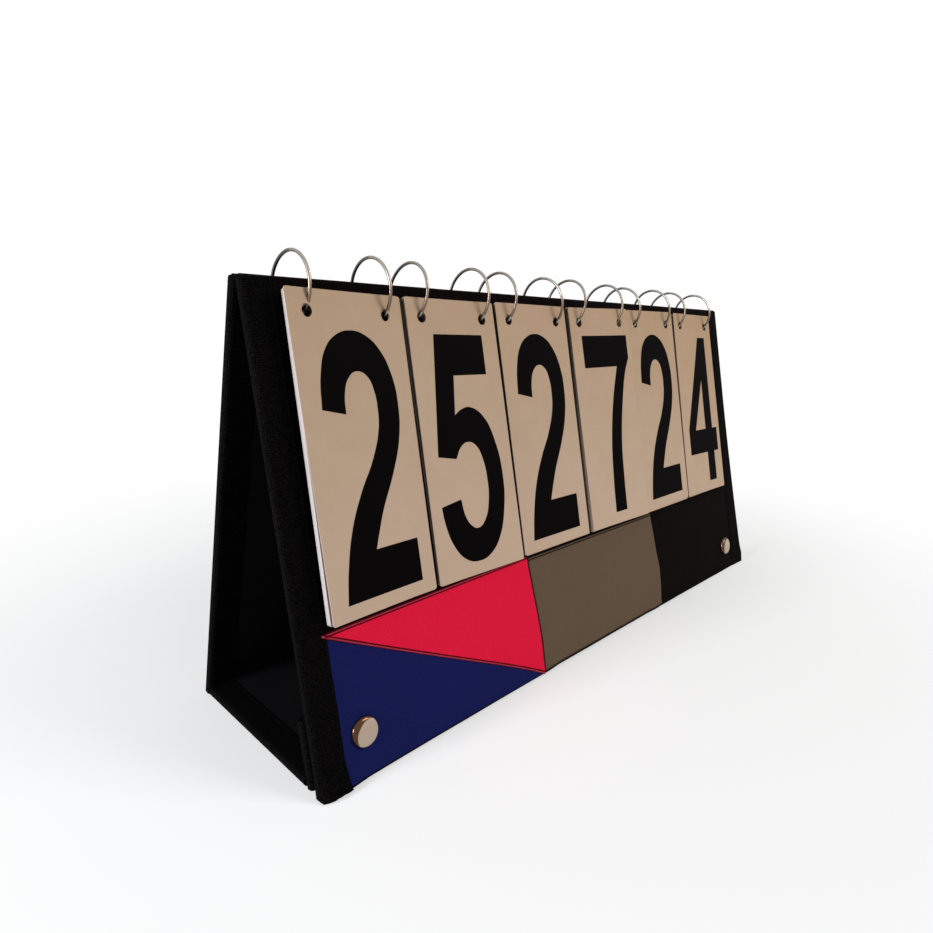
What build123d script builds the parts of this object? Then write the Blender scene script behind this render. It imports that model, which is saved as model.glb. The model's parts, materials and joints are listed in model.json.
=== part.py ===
from build123d import *
import os
from math import asin, atan2, cos, degrees, hypot, radians, sin, sqrt

# Tabletop flip scoreboard: four cloth-covered boards folded into an A-shaped stand, with six
# stacks of numbered cards hung over its ridge on pairs of book rings.
# Frame: +X to the right along the length, the numbers face -Y, +Z up.
# Origin: on the table, in the middle of the stand.

# ---------------------------------------------------------------- driving dimensions, mm and degrees
lean = 13.6                 # front and back panels, each from upright
board_thickness = 2.5
cloth_thickness = 0.7       # cover outside, lining inside
tape_thickness = 0.8        # edge binding tape
tape_width = 15.0           # how far the tape reaches over a face
ridge_clearance = 0.3       # between the front and back tapes where they meet at the ridge
ridge_strip_thickness = 0.8

flap_height = 33.0          # snap flap, up its slope
flap_floor_clearance = 0.5
fold_clearance = 0.5        # between the base's ends and what they fold against
fold_strip_thickness = 0.6
fold_strip_reach = 10.0     # how far a fold strip reaches over the base and up the back panel
fold_strip_inset = 1.0      # from the edge tapes
post_clearance = 1.1        # between the front fold's strip and the snap posts above it

stack_count = 6
card_width = 66.5
card_height = 150.2
card_thickness = 0.3
card_gap = 3.6              # between neighbouring stacks
card_corner_radius = 1.2
cards_behind = 9            # cards that lie behind each front card
card_leaf_gap = 0.02        # between two cards of a pack
first_stack_gap = 1.0       # from the left edge tape to the first stack
last_stack_gap = 9.0        # from the last stack to the right edge tape
card_hole_drop = 9.87       # from a card's top edge to its holes
card_hole_inset = 10.3      # from a card's side to its hole
card_hole_radius = 3.0
card_clearance = 0.3        # between a front card and the pack behind it
pack_clearance = 0.05       # between a pack and the eyelets under it

ring_radius = 16.1          # to the middle of the wire
ring_wire_radius = 1.0
ring_centre_drop = 3.6      # ring centre below the ridge corners
ring_clasp_angle = 12.0     # clasp from the top, towards the front
ring_joint_gap = 0.1        # between the two halves' ends
knuckle_radius = 1.3
knuckle_ear_thickness = 0.7
knuckle_tongue_thickness = 0.8
knuckle_clearance = 0.05
knuckle_wire_gap = 0.15     # between one half's lugs and the other half's wire
lug_half_width = 0.85
lug_overlap = 0.6           # how far a lug runs into its wire
ring_pin_radius = 0.5
pin_clearance = 0.03

eyelet_flange_thickness = 0.4
eyelet_wall = 0.5
front_eyelet_radius = 3.0   # clear hole
front_flange_width = 2.0
back_eyelet_radius = 4.6
back_flange_width = 2.6
back_eyelet_lift = 2.0      # above the wire at rest, as the wire rises when the front panel swings out

patch_thickness = 0.5
raised_patch_thickness = 0.8
patch_height = 75.0         # colour band, up from the panel's bottom edge
band_clearance = 1.0        # between the colour band and the cards above it
first_patch_width = 145.0
second_patch_width = 148.0

snap_inset = 27.3           # from the stand's end to a snap's centre
snap_height = 21.2          # up the slope to a snap's centre
snap_cap_radius = 7.55
snap_cap_rim = 0.7
snap_cap_height = 2.8
snap_barrel_radius = 2.0
snap_socket_radius = 6.2
snap_socket_floor = 0.6
snap_socket_height = 2.5
snap_stud_flange_radius = 5.5
snap_stud_flange = 0.6
snap_stud_radius = 2.3
snap_side_clearance = 0.75  # all round the stud in its socket, so that it leaves on an arc
snap_end_clearance = 0.7    # between the stud's tip and the socket's floor
snap_face_clearance = 0.5   # between the socket's mouth and the stud's flange
snap_post_radius = 4.8
snap_post_head = 0.9

# ---------------------------------------------------------------- worked out from them
stacks_length = stack_count * card_width + (stack_count - 1) * card_gap
length = 2 * tape_width + first_stack_gap + stacks_length + last_stack_gap
half_length = length / 2
rise, run = cos(radians(lean)), sin(radians(lean))
panel_thickness = board_thickness + 2 * cloth_thickness
core_length = length - 2 * tape_thickness
clear_length = length - 2 * tape_width
ridge_gap = 2 * tape_thickness / rise + ridge_clearance
ridge_depth = 2 * panel_thickness / rise + ridge_gap


def ring_drop(face):
    """How far down the slope from the ridge corner a ring crosses a surface, face outside the panel."""
    across = ridge_depth / 2 + face * rise
    below = ring_centre_drop + face * run
    nearest = below * rise - across * run
    return nearest + sqrt(nearest**2 + ring_radius**2 - across**2 - below**2)


pack_face = eyelet_flange_thickness + pack_clearance
card_step = card_thickness + card_leaf_gap
front_card_back = pack_face + cards_behind * card_step - card_leaf_gap + card_clearance
stack_middle = (pack_face + front_card_back + card_thickness) / 2
card_top_drop = ring_drop(stack_middle) - card_hole_drop
washer_back = -panel_thickness - eyelet_flange_thickness
lip_back = washer_back - eyelet_flange_thickness
front_eyelet_drop = (ring_drop(eyelet_flange_thickness) + ring_drop(lip_back)) / 2
back_eyelet_drop = front_eyelet_drop - back_eyelet_lift

panel_height = card_top_drop + card_height + band_clearance + patch_height
flap_gap = snap_socket_height + snap_face_clearance + snap_stud_flange
stand_depth = 2 * panel_height * run + ridge_depth
corner_height = (panel_thickness + tape_thickness) * run
ridge_height = corner_height + panel_height * rise

# Local axes of a panel's plane: x along the length, y up the slope from its bottom edge,
# z out of its outer face. The flap's plane is the front panel's, moved inwards.
front_plane = Plane(origin=(0, -stand_depth / 2, corner_height), x_dir=(1, 0, 0), z_dir=(0, -rise, run))
back_plane = Plane(origin=(0, stand_depth / 2, corner_height), x_dir=(-1, 0, 0), z_dir=(0, rise, run))
flap_plane = front_plane.offset(-panel_thickness - flap_gap)
flap_low = (flap_floor_clearance + (panel_thickness + flap_gap) * run) / rise

base_bottom_cloth = tape_thickness
base_core = board_thickness + cloth_thickness
base_top = base_bottom_cloth + base_core
base_tape_top = base_top + tape_thickness


def slope_y(height, depth):
    """Distance from the middle plane, at a height, to a surface depth inside a panel's outer face."""
    return stand_depth / 2 - (height - corner_height) * run / rise - depth / rise


base_back = slope_y(base_tape_top, panel_thickness + tape_thickness) - fold_clearance
flap_back_depth = 2 * panel_thickness + flap_gap
base_front = -slope_y(base_tape_top, flap_back_depth + tape_thickness) + fold_clearance

card_pitch = card_width + card_gap
first_stack_x = -half_length + tape_width + first_stack_gap + card_width / 2
stack_x = [first_stack_x + i * card_pitch for i in range(stack_count)]
hole_offset = card_width / 2 - card_hole_inset
ring_x = [x + side * hole_offset for x in stack_x for side in (-1, 1)]
card_top = panel_height - card_top_drop
card_middle = card_top - card_height / 2

snap_x = [-half_length + snap_inset, half_length - snap_inset]
front_holes = [(x, panel_height - front_eyelet_drop) for x in ring_x]
back_holes = [(-x, panel_height - back_eyelet_drop) for x in ring_x]
snap_points = [(x, snap_height) for x in snap_x]
front_hole_radius = front_eyelet_radius + eyelet_wall
back_hole_radius = back_eyelet_radius + eyelet_wall

os.makedirs("parts", exist_ok=True)


def layered(plane, slabs, holes=()):
    """Flat layers on a plane, each (width, low, high, back, face), with round holes through them all."""
    with BuildPart() as piece:
        for width, low, high, back, face in slabs:
            with BuildSketch(plane.offset(back)):
                with Locations((0, (low + high) / 2)):
                    Rectangle(width, high - low)
            extrude(amount=face - back)
        deepest = min(slab[3] for slab in slabs)
        highest = max(slab[4] for slab in slabs)
        for points, radius in holes:
            with BuildSketch(plane.offset(deepest)):
                with Locations(*points):
                    Circle(radius)
            extrude(amount=highest - deepest, mode=Mode.SUBTRACT)
    return piece


def edge_tape(plane, side, low, high, outer, inner):
    """Tape folded round one end of a board, from the outer face to the inner one."""
    middle = (low + high) / 2
    end_x = side * half_length
    with BuildPart() as tape:
        with BuildSketch(plane.offset(inner - tape_thickness)):
            with Locations((end_x - side * tape_width / 2, middle)):
                Rectangle(tape_width, high - low)
        extrude(amount=outer - inner + 2 * tape_thickness)
        with BuildSketch(plane.offset(inner)):
            with Locations((end_x - side * (tape_thickness + tape_width) / 2, middle)):
                Rectangle(tape_width - tape_thickness, high - low)
        extrude(amount=outer - inner, mode=Mode.SUBTRACT)
    return tape


def turned(plane, points, profiles):
    """Round pieces standing on a plane: each profile is a ring (inner, outer, back, face)."""
    with BuildPart() as piece:
        for inner, outer, back, face in profiles:
            with BuildSketch(plane.offset(back)):
                with Locations(*points):
                    Circle(outer)
                    if inner > 0:
                        Circle(inner, mode=Mode.SUBTRACT)
            extrude(amount=face - back)
    return piece


# ---------------------------------------------------------------- front panel
panel_cuts = [(front_holes, front_hole_radius), (snap_points, snap_barrel_radius)]
board_face = -cloth_thickness
board_back = board_face - board_thickness

front_board = layered(
    front_plane, [(core_length, cloth_thickness, panel_height, board_back, board_face)], panel_cuts
)
front_board.part.label = "front_board"
export_step(front_board.part, "parts/front_board.step")

front_cover = layered(
    front_plane,
    [
        (core_length, 0, panel_height, board_face, 0),
        (core_length, 0, cloth_thickness, -panel_thickness, board_face),
    ],
    panel_cuts,
)
front_cover.part.label = "front_cover"
export_step(front_cover.part, "parts/front_cover.step")

front_lining = layered(
    front_plane, [(core_length, cloth_thickness, panel_height, -panel_thickness, board_back)], panel_cuts
)
front_lining.part.label = "front_lining"
export_step(front_lining.part, "parts/front_lining.step")

front_tape_left = edge_tape(front_plane, -1, 0, panel_height, 0, -panel_thickness)
front_tape_left.part.label = "front_tape_left"
export_step(front_tape_left.part, "parts/front_tape_left.step")

front_tape_right = edge_tape(front_plane, 1, 0, panel_height, 0, -panel_thickness)
front_tape_right.part.label = "front_tape_right"
export_step(front_tape_right.part, "parts/front_tape_right.step")

# ---------------------------------------------------------------- colour band on the front panel
band_left = -clear_length / 2
first_seam = band_left + first_patch_width
second_seam = first_seam + second_patch_width
band_right = clear_length / 2


def patch(corners, thickness):
    """A cloth patch on the front cover, pierced where a snap goes through it."""
    with BuildPart() as piece:
        with BuildSketch(front_plane):
            with BuildLine():
                Polyline(*corners, close=True)
            make_face()
            with Locations(*snap_points):
                Circle(snap_barrel_radius, mode=Mode.SUBTRACT)
        extrude(amount=thickness)
    return piece


blue_patch = patch([(band_left, patch_height), (band_left, 0), (first_seam, 0)], patch_thickness)
blue_patch.part.label = "blue_patch"
export_step(blue_patch.part, "parts/blue_patch.step")

red_patch = patch(
    [(band_left, patch_height), (first_seam, 0), (first_seam, patch_height)], raised_patch_thickness
)
red_patch.part.label = "red_patch"
export_step(red_patch.part, "parts/red_patch.step")

grey_patch = patch(
    [(first_seam, 0), (second_seam, 0), (second_seam, patch_height), (first_seam, patch_height)],
    patch_thickness,
)
grey_patch.part.label = "grey_patch"
export_step(grey_patch.part, "parts/grey_patch.step")

black_patch = patch(
    [(second_seam, 0), (band_right, 0), (band_right, patch_height), (second_seam, patch_height)],
    patch_thickness,
)
black_patch.part.label = "black_patch"
export_step(black_patch.part, "parts/black_patch.step")

# ---------------------------------------------------------------- back panel and ridge
back_cuts = [(back_holes, back_hole_radius)]

back_board = layered(
    back_plane, [(core_length, cloth_thickness, panel_height, board_back, board_face)], back_cuts
)
back_board.part.label = "back_board"
export_step(back_board.part, "parts/back_board.step")

back_cover = layered(
    back_plane,
    [
        (core_length, 0, panel_height, board_face, 0),
        (core_length, 0, cloth_thickness, -panel_thickness, board_face),
    ],
    back_cuts,
)
back_cover.part.label = "back_cover"
export_step(back_cover.part, "parts/back_cover.step")

back_lining = layered(
    back_plane, [(core_length, cloth_thickness, panel_height, -panel_thickness, board_back)], back_cuts
)
back_lining.part.label = "back_lining"
export_step(back_lining.part, "parts/back_lining.step")

back_tape_left = edge_tape(back_plane, 1, 0, panel_height, 0, -panel_thickness)
back_tape_left.part.label = "back_tape_left"
export_step(back_tape_left.part, "parts/back_tape_left.step")

back_tape_right = edge_tape(back_plane, -1, 0, panel_height, 0, -panel_thickness)
back_tape_right.part.label = "back_tape_right"
export_step(back_tape_right.part, "parts/back_tape_right.step")

# The cloth over the ridge follows both panels' top ends, which slope down towards the middle.
inner_corner_height = ridge_height - panel_thickness * run
with BuildPart() as ridge_strip:
    with BuildSketch(Plane.YZ.offset(-core_length / 2)):
        with BuildLine():
            Polyline(
                (-ridge_depth / 2, ridge_height),
                (-ridge_gap / 2, inner_corner_height),
                (ridge_gap / 2, inner_corner_height),
                (ridge_depth / 2, ridge_height),
                (ridge_depth / 2, ridge_height + ridge_strip_thickness),
                (-ridge_depth / 2, ridge_height + ridge_strip_thickness),
                close=True,
            )
        make_face()
    extrude(amount=core_length)
ridge_strip.part.label = "ridge_strip"
export_step(ridge_strip.part, "parts/ridge_strip.step")

# ---------------------------------------------------------------- base panel
base_lip = cloth_thickness
base_length_y = base_back - base_front
base_middle_y = (base_front + base_back) / 2
base_plane = Plane.XY

with BuildPart() as base_board:
    with BuildSketch(base_plane.offset(base_bottom_cloth)):
        with Locations((0, base_middle_y)):
            Rectangle(core_length, base_length_y - 2 * base_lip)
    extrude(amount=board_thickness)
base_board.part.label = "base_board"
export_step(base_board.part, "parts/base_board.step")

with BuildPart() as base_cover:
    with BuildSketch(base_plane):
        with Locations((0, base_middle_y)):
            Rectangle(clear_length, base_length_y)
    extrude(amount=base_bottom_cloth)
    with BuildSketch(base_plane.offset(base_bottom_cloth)):
        for end_y in (base_front + base_lip / 2, base_back - base_lip / 2):
            with Locations((0, end_y)):
                Rectangle(core_length, base_lip)
    extrude(amount=base_core)
base_cover.part.label = "base_cover"
export_step(base_cover.part, "parts/base_cover.step")

with BuildPart() as base_lining:
    with BuildSketch(base_plane.offset(base_top - cloth_thickness)):
        with Locations((0, base_middle_y)):
            Rectangle(core_length, base_length_y - 2 * base_lip)
    extrude(amount=cloth_thickness)
base_lining.part.label = "base_lining"
export_step(base_lining.part, "parts/base_lining.step")

base_tape_left = edge_tape(base_plane, -1, base_front, base_back, base_top, base_bottom_cloth)
base_tape_left.part.label = "base_tape_left"
export_step(base_tape_left.part, "parts/base_tape_left.step")

base_tape_right = edge_tape(base_plane, 1, base_front, base_back, base_top, base_bottom_cloth)
base_tape_right.part.label = "base_tape_right"
export_step(base_tape_right.part, "parts/base_tape_right.step")

# ---------------------------------------------------------------- snap flap behind the front panel
flap_high = flap_low + flap_height
flap_cuts = [(snap_points, snap_barrel_radius)]
flap_core_low = flap_low + cloth_thickness
flap_core_high = flap_high - cloth_thickness

flap_board = layered(
    flap_plane, [(core_length, flap_core_low, flap_core_high, board_back, board_face)], flap_cuts
)
flap_board.part.label = "flap_board"
export_step(flap_board.part, "parts/flap_board.step")

flap_cover = layered(
    flap_plane,
    [
        (core_length, flap_low, flap_high, board_face, 0),
        (core_length, flap_low, flap_core_low, -panel_thickness, board_face),
        (core_length, flap_core_high, flap_high, -panel_thickness, board_face),
    ],
    flap_cuts,
)
flap_cover.part.label = "flap_cover"
export_step(flap_cover.part, "parts/flap_cover.step")

flap_lining = layered(
    flap_plane, [(core_length, flap_core_low, flap_core_high, -panel_thickness, board_back)], flap_cuts
)
flap_lining.part.label = "flap_lining"
export_step(flap_lining.part, "parts/flap_lining.step")

flap_tape_left = edge_tape(flap_plane, -1, flap_low, flap_high, 0, -panel_thickness)
flap_tape_left.part.label = "flap_tape_left"
export_step(flap_tape_left.part, "parts/flap_tape_left.step")

flap_tape_right = edge_tape(flap_plane, 1, flap_low, flap_high, 0, -panel_thickness)
flap_tape_right.part.label = "flap_tape_right"
export_step(flap_tape_right.part, "parts/flap_tape_right.step")

# ---------------------------------------------------------------- cloth strips in the base's two folds
fold_top = base_top + fold_strip_thickness
strip_length = clear_length - 2 * fold_strip_inset


def fold_strip(side, base_end, wall_depth, wall_reach):
    """Cloth glued over the base's lining and up the board beside it; side is -1 in front and 1 behind."""
    up_y = -side * run
    wall_low = side * slope_y(base_top, wall_depth)
    wall_fold = side * slope_y(fold_top, wall_depth + fold_strip_thickness)
    reach_y = base_end - side * fold_strip_reach
    with BuildPart() as strip:
        with BuildSketch(Plane.YZ.offset(-strip_length / 2)):
            with BuildLine():
                Polyline(
                    (wall_low, base_top),
                    (reach_y, base_top),
                    (reach_y, fold_top),
                    (wall_fold, fold_top),
                    (wall_fold + wall_reach * up_y, fold_top + wall_reach * rise),
                    (wall_low + wall_reach * up_y, base_top + wall_reach * rise),
                    close=True,
                )
            make_face()
        extrude(amount=strip_length)
    return strip


strip_depth = flap_back_depth + fold_strip_thickness
strip_foot = (fold_top - corner_height + strip_depth * run) / rise
front_strip_reach = snap_height - snap_post_radius - post_clearance - strip_foot
front_fold_strip = fold_strip(-1, base_front, flap_back_depth, front_strip_reach)
front_fold_strip.part.label = "front_fold_strip"
export_step(front_fold_strip.part, "parts/front_fold_strip.step")

rear_fold_strip = fold_strip(1, base_back, panel_thickness, fold_strip_reach)
rear_fold_strip.part.label = "rear_fold_strip"
export_step(rear_fold_strip.part, "parts/rear_fold_strip.step")

# ---------------------------------------------------------------- snaps
snap_seat = patch_thickness
snap_barrel_end = -panel_thickness - snap_socket_floor
snap_socket_bore = snap_stud_radius + snap_side_clearance
snap_stud_tip = flap_gap - snap_socket_floor - snap_end_clearance
dome_rise = snap_cap_height - snap_cap_rim
dome_radius = (snap_cap_radius**2 + dome_rise**2) / (2 * dome_rise)
dome_half_angle = asin(snap_cap_radius / dome_radius) / 2
dome_middle = (
    dome_radius * sin(dome_half_angle),
    snap_cap_height - dome_radius * (1 - cos(dome_half_angle)),
)
snap_axes = [front_plane.from_local_coords(Vector(x, snap_height, snap_seat)) for x in snap_x]

with BuildPart() as snap_caps:
    for centre in snap_axes:
        with BuildSketch(Plane(origin=centre, x_dir=(1, 0, 0), z_dir=(0, -run, -rise))):
            with BuildLine():
                Line((0, snap_barrel_end - snap_seat), (snap_barrel_radius, snap_barrel_end - snap_seat))
                Line((snap_barrel_radius, snap_barrel_end - snap_seat), (snap_barrel_radius, 0))
                Line((snap_barrel_radius, 0), (snap_cap_radius, 0))
                Line((snap_cap_radius, 0), (snap_cap_radius, snap_cap_rim))
                ThreePointArc((snap_cap_radius, snap_cap_rim), dome_middle, (0, snap_cap_height))
                Line((0, snap_cap_height), (0, snap_barrel_end - snap_seat))
            make_face()
        revolve(axis=Axis(origin=centre, direction=(0, -rise, run)))
snap_caps.part.label = "snap_caps"
export_step(snap_caps.part, "parts/snap_caps.step")

snap_sockets = turned(
    front_plane,
    snap_points,
    [
        (snap_barrel_radius, snap_socket_radius, snap_barrel_end, -panel_thickness),
        (snap_socket_bore, snap_socket_radius, -panel_thickness - snap_socket_height, snap_barrel_end),
    ],
)
snap_sockets.part.label = "snap_sockets"
export_step(snap_sockets.part, "parts/snap_sockets.step")

snap_studs = turned(
    flap_plane,
    snap_points,
    [
        (0, snap_stud_flange_radius, 0, snap_stud_flange),
        (0, snap_stud_radius, snap_stud_flange, snap_stud_tip),
    ],
)
snap_studs.part.label = "snap_studs"
export_step(snap_studs.part, "parts/snap_studs.step")

snap_posts = turned(
    flap_plane,
    snap_points,
    [
        (0, snap_post_radius, -panel_thickness - snap_post_head, -panel_thickness),
        (0, snap_barrel_radius, -panel_thickness, 0),
    ],
)
snap_posts.part.label = "snap_posts"
export_step(snap_posts.part, "parts/snap_posts.step")

# ---------------------------------------------------------------- eyelets that the rings pass through


def eyelets(plane, points, clear_radius, flange_width):
    """Barrel with a flange outside and a rolled lip over the washer inside."""
    outer = clear_radius + eyelet_wall
    return turned(
        plane,
        points,
        [
            (clear_radius, clear_radius + flange_width, 0, eyelet_flange_thickness),
            (clear_radius, outer, washer_back, 0),
            (clear_radius, outer + flange_width / 2, lip_back, washer_back),
        ],
    )


def washers(plane, points, clear_radius, flange_width):
    """Flat rings round the barrels, against the lining."""
    outer = clear_radius + eyelet_wall + flange_width
    return turned(plane, points, [(clear_radius + eyelet_wall, outer, washer_back, -panel_thickness)])


front_eyelets = eyelets(front_plane, front_holes, front_eyelet_radius, front_flange_width)
front_eyelets.part.label = "front_eyelets"
export_step(front_eyelets.part, "parts/front_eyelets.step")

front_washers = washers(front_plane, front_holes, front_eyelet_radius, front_flange_width)
front_washers.part.label = "front_washers"
export_step(front_washers.part, "parts/front_washers.step")

back_eyelets = eyelets(back_plane, back_holes, back_eyelet_radius, back_flange_width)
back_eyelets.part.label = "back_eyelets"
export_step(back_eyelets.part, "parts/back_eyelets.step")

back_washers = washers(back_plane, back_holes, back_eyelet_radius, back_flange_width)
back_washers.part.label = "back_washers"
export_step(back_washers.part, "parts/back_washers.step")

# ---------------------------------------------------------------- cards


def cards(x, backs):
    """Cards of one stack, one at each distance of its back from the front panel's face."""
    with BuildPart() as leaves:
        for back in backs:
            with BuildSketch(front_plane.offset(back)):
                with Locations((x, card_middle)):
                    RectangleRounded(card_width, card_height, card_corner_radius)
                hole_y = card_top - card_hole_drop
                with Locations((x - hole_offset, hole_y), (x + hole_offset, hole_y)):
                    Circle(card_hole_radius, mode=Mode.SUBTRACT)
            extrude(amount=card_thickness)
    return leaves


for number, x in enumerate(stack_x, start=1):
    card_pack = cards(x, [pack_face + i * card_step for i in range(cards_behind)])
    card_pack.part.label = f"card_pack_{number}"
    export_step(card_pack.part, f"parts/card_pack_{number}.step")

    front_card = cards(x, [front_card_back])
    front_card.part.label = f"front_card_{number}"
    export_step(front_card.part, f"parts/front_card_{number}.step")

# ---------------------------------------------------------------- book rings
ring_centre_height = ridge_height - ring_centre_drop
ear_inner = knuckle_tongue_thickness / 2 + knuckle_clearance
ear_outer = ear_inner + knuckle_ear_thickness
knuckle_angle = ring_clasp_angle + 180
clasp_half_gap = degrees(ring_joint_gap / 2 / ring_radius)
wire_trim = degrees((knuckle_radius + knuckle_wire_gap) / ring_radius)


def ring_point(angle):
    """A point on the wire's middle line, at an angle from the ring's top towards the front."""
    y = -ring_radius * sin(radians(angle))
    return (y, ring_centre_height + ring_radius * cos(radians(angle)))


def half_ring(x, clasp, wire_end, lugs):
    """Half a ring from its clasp end to its hinge lugs, each lug between two places along the ridge."""
    hinge = ring_point(knuckle_angle)
    wire_tip = ring_point(wire_end)
    reach = (wire_tip[0] - hinge[0], wire_tip[1] - hinge[1])
    reach_length = hypot(*reach) + lug_overlap
    reach_angle = degrees(atan2(reach[1], reach[0]))
    step = (cos(radians(reach_angle)), sin(radians(reach_angle)))
    link_middle = (hinge[0] + step[0] * reach_length / 2, hinge[1] + step[1] * reach_length / 2)
    with BuildPart() as half:
        with BuildLine(Plane.YZ.offset(x)) as middle_line:
            ThreePointArc(ring_point(clasp), ring_point((clasp + wire_end) / 2), wire_tip)
        with BuildSketch(Plane(origin=middle_line.line @ 0, z_dir=middle_line.line % 0)):
            Circle(ring_wire_radius)
        sweep()
        for low, high in lugs:
            with BuildSketch(Plane.YZ.offset(x + low)):
                with Locations(hinge):
                    Circle(knuckle_radius)
                with Locations(link_middle):
                    Rectangle(reach_length, 2 * lug_half_width, rotation=reach_angle)
                with Locations(hinge):
                    Circle(ring_pin_radius + pin_clearance, mode=Mode.SUBTRACT)
            extrude(amount=high - low)
    return half.part


for number, x_stack in enumerate(stack_x, start=1):
    ring_places = (x_stack - hole_offset, x_stack + hole_offset)
    with BuildPart() as book_rings:
        for x in ring_places:
            add(
                half_ring(
                    x,
                    ring_clasp_angle + clasp_half_gap,
                    knuckle_angle - wire_trim,
                    [(-ear_outer, -ear_inner), (ear_inner, ear_outer)],
                )
            )
            add(
                half_ring(
                    x,
                    ring_clasp_angle - clasp_half_gap,
                    knuckle_angle - 360 + wire_trim,
                    [(-knuckle_tongue_thickness / 2, knuckle_tongue_thickness / 2)],
                )
            )
    book_rings.part.label = f"book_rings_{number}"
    export_step(book_rings.part, f"parts/book_rings_{number}.step")

    with BuildPart() as ring_pins:
        for x in ring_places:
            with BuildSketch(Plane.YZ.offset(x - ear_outer)):
                with Locations(ring_point(knuckle_angle)):
                    Circle(ring_pin_radius)
            extrude(amount=2 * ear_outer)
    ring_pins.part.label = f"ring_pins_{number}"
    export_step(ring_pins.part, f"parts/ring_pins_{number}.step")
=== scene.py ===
# Looks of the tabletop flip scoreboard, built round its CAD model: woven cloth, bound edges, a
# sewn colour band, number cards on book rings and two snaps. Sizes are in millimetres until a
# mesh is made, which is in metres.
import json
from math import asin, ceil, cos, degrees, pi, radians, sin, sqrt

import bmesh
import bpy
import numpy as np
from mathutils import Matrix, Vector


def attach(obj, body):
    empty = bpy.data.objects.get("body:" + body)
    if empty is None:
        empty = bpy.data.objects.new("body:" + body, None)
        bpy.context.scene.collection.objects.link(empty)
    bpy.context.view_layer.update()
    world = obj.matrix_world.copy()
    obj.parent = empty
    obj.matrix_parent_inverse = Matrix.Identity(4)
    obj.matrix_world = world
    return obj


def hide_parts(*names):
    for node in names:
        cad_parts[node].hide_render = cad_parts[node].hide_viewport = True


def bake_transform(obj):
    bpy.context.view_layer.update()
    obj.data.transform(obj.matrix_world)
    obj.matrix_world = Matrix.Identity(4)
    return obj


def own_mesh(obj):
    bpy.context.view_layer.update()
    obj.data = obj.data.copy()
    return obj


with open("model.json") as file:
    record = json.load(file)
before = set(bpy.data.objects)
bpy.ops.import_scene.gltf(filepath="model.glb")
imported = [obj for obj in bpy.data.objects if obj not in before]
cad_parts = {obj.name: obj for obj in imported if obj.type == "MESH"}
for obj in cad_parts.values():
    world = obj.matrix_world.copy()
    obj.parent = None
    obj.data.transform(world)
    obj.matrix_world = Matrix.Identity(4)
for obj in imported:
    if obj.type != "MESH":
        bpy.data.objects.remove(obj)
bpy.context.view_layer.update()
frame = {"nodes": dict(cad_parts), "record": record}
MM = 0.001
draw = np.random.default_rng(26)

# ---------------------------------------------------------------- sizes shared with the CAD model
lean = radians(13.6)
rise, run = cos(lean), sin(lean)
half_length = 228.5
tape_width = 15.0
tape_thickness = 0.8
cloth_thickness = 0.7
panel_thickness = 3.9
panel_height = 232.7
stand_depth = 119.407
corner_height = 1.105
ridge_height = corner_height + panel_height * rise
half_clear = half_length - tape_width
half_core = half_length - tape_thickness

flap_depth = 7.5
flap_low, flap_high = 2.33, 35.33
base_front, base_back = -45.758, 53.474
base_top = 4.0
fold_reach = 10.0

card_width, card_height, card_thickness = 66.5, 150.2, 0.3
card_low = 76.0
card_corner = 1.2
card_hole_inset, card_hole_drop, card_hole_radius = 10.3, 9.87, 3.0
cards_behind = 9
card_step = 0.32
pack_face = 0.45
front_card_back = 3.61
first_stack_x, card_pitch = -179.25, 70.1
stacks = [first_stack_x + i * card_pitch for i in range(6)]
ring_x = [x + side * (card_width / 2 - card_hole_inset) for x in stacks for side in (-1, 1)]

first_seam, second_seam = -68.5, 79.5
snap_x, snap_y = 201.2, 21.2
snap_barrel = 2.0
ring_radius, ring_wire = 16.1, 0.85
ring_clasp, ring_knuckle = 12.0, 192.0
ring_height = ridge_height - 3.6
front_eyelet_y, back_eyelet_y = 214.89, 216.89

# ---------------------------------------------------------------- sizes of the cloth alone
panel_cloth_end = half_length - 1.5
cover_end = half_length - 1.0
base_lining_end = half_core - 0.5
lathe_map = 100.0  # how much of the map goes once round a turned piece


class Face:
    """One side of a board: a place along its length, up its slope and out of it."""

    def __init__(self, origin, along, up, out):
        self.origin, self.along, self.up, self.out = (np.array(v, float) for v in (origin, along, up, out))

    def at(self, x, y, z=0.0):
        x, y, z = (np.asarray(v, float)[..., None] for v in (x, y, z))
        return self.origin + self.along * x + self.up * y + self.out * z

    def moved(self, depth):
        return Face(self.at(0, 0, depth), self.along, self.up, self.out)


def front_local(place):
    """Where a place is on the front panel: along it, up it and out of it."""
    away = np.array(place) - front.origin
    return away @ front.along, away @ front.up, away @ front.out


front = Face((0, -stand_depth / 2, corner_height), (1, 0, 0), (0, run, rise), (0, -rise, run))
back = Face((0, stand_depth / 2, corner_height), (-1, 0, 0), (0, -run, rise), (0, rise, run))
flap = front.moved(-flap_depth)
base = Face((0, 0, 0), (1, 0, 0), (0, 1, 0), (0, 0, 1))


# ---------------------------------------------------------------- finishes
def maths(operation, swapped=False):
    """The method behind one operator on a Level: it adds a Math node."""

    def apply(self, other=None):
        values = [self] if other is None else [self, other]
        if swapped:
            values.reverse()
        return self.tree.value("ShaderNodeMath", {"operation": operation}, dict(enumerate(values)))

    return apply


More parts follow.
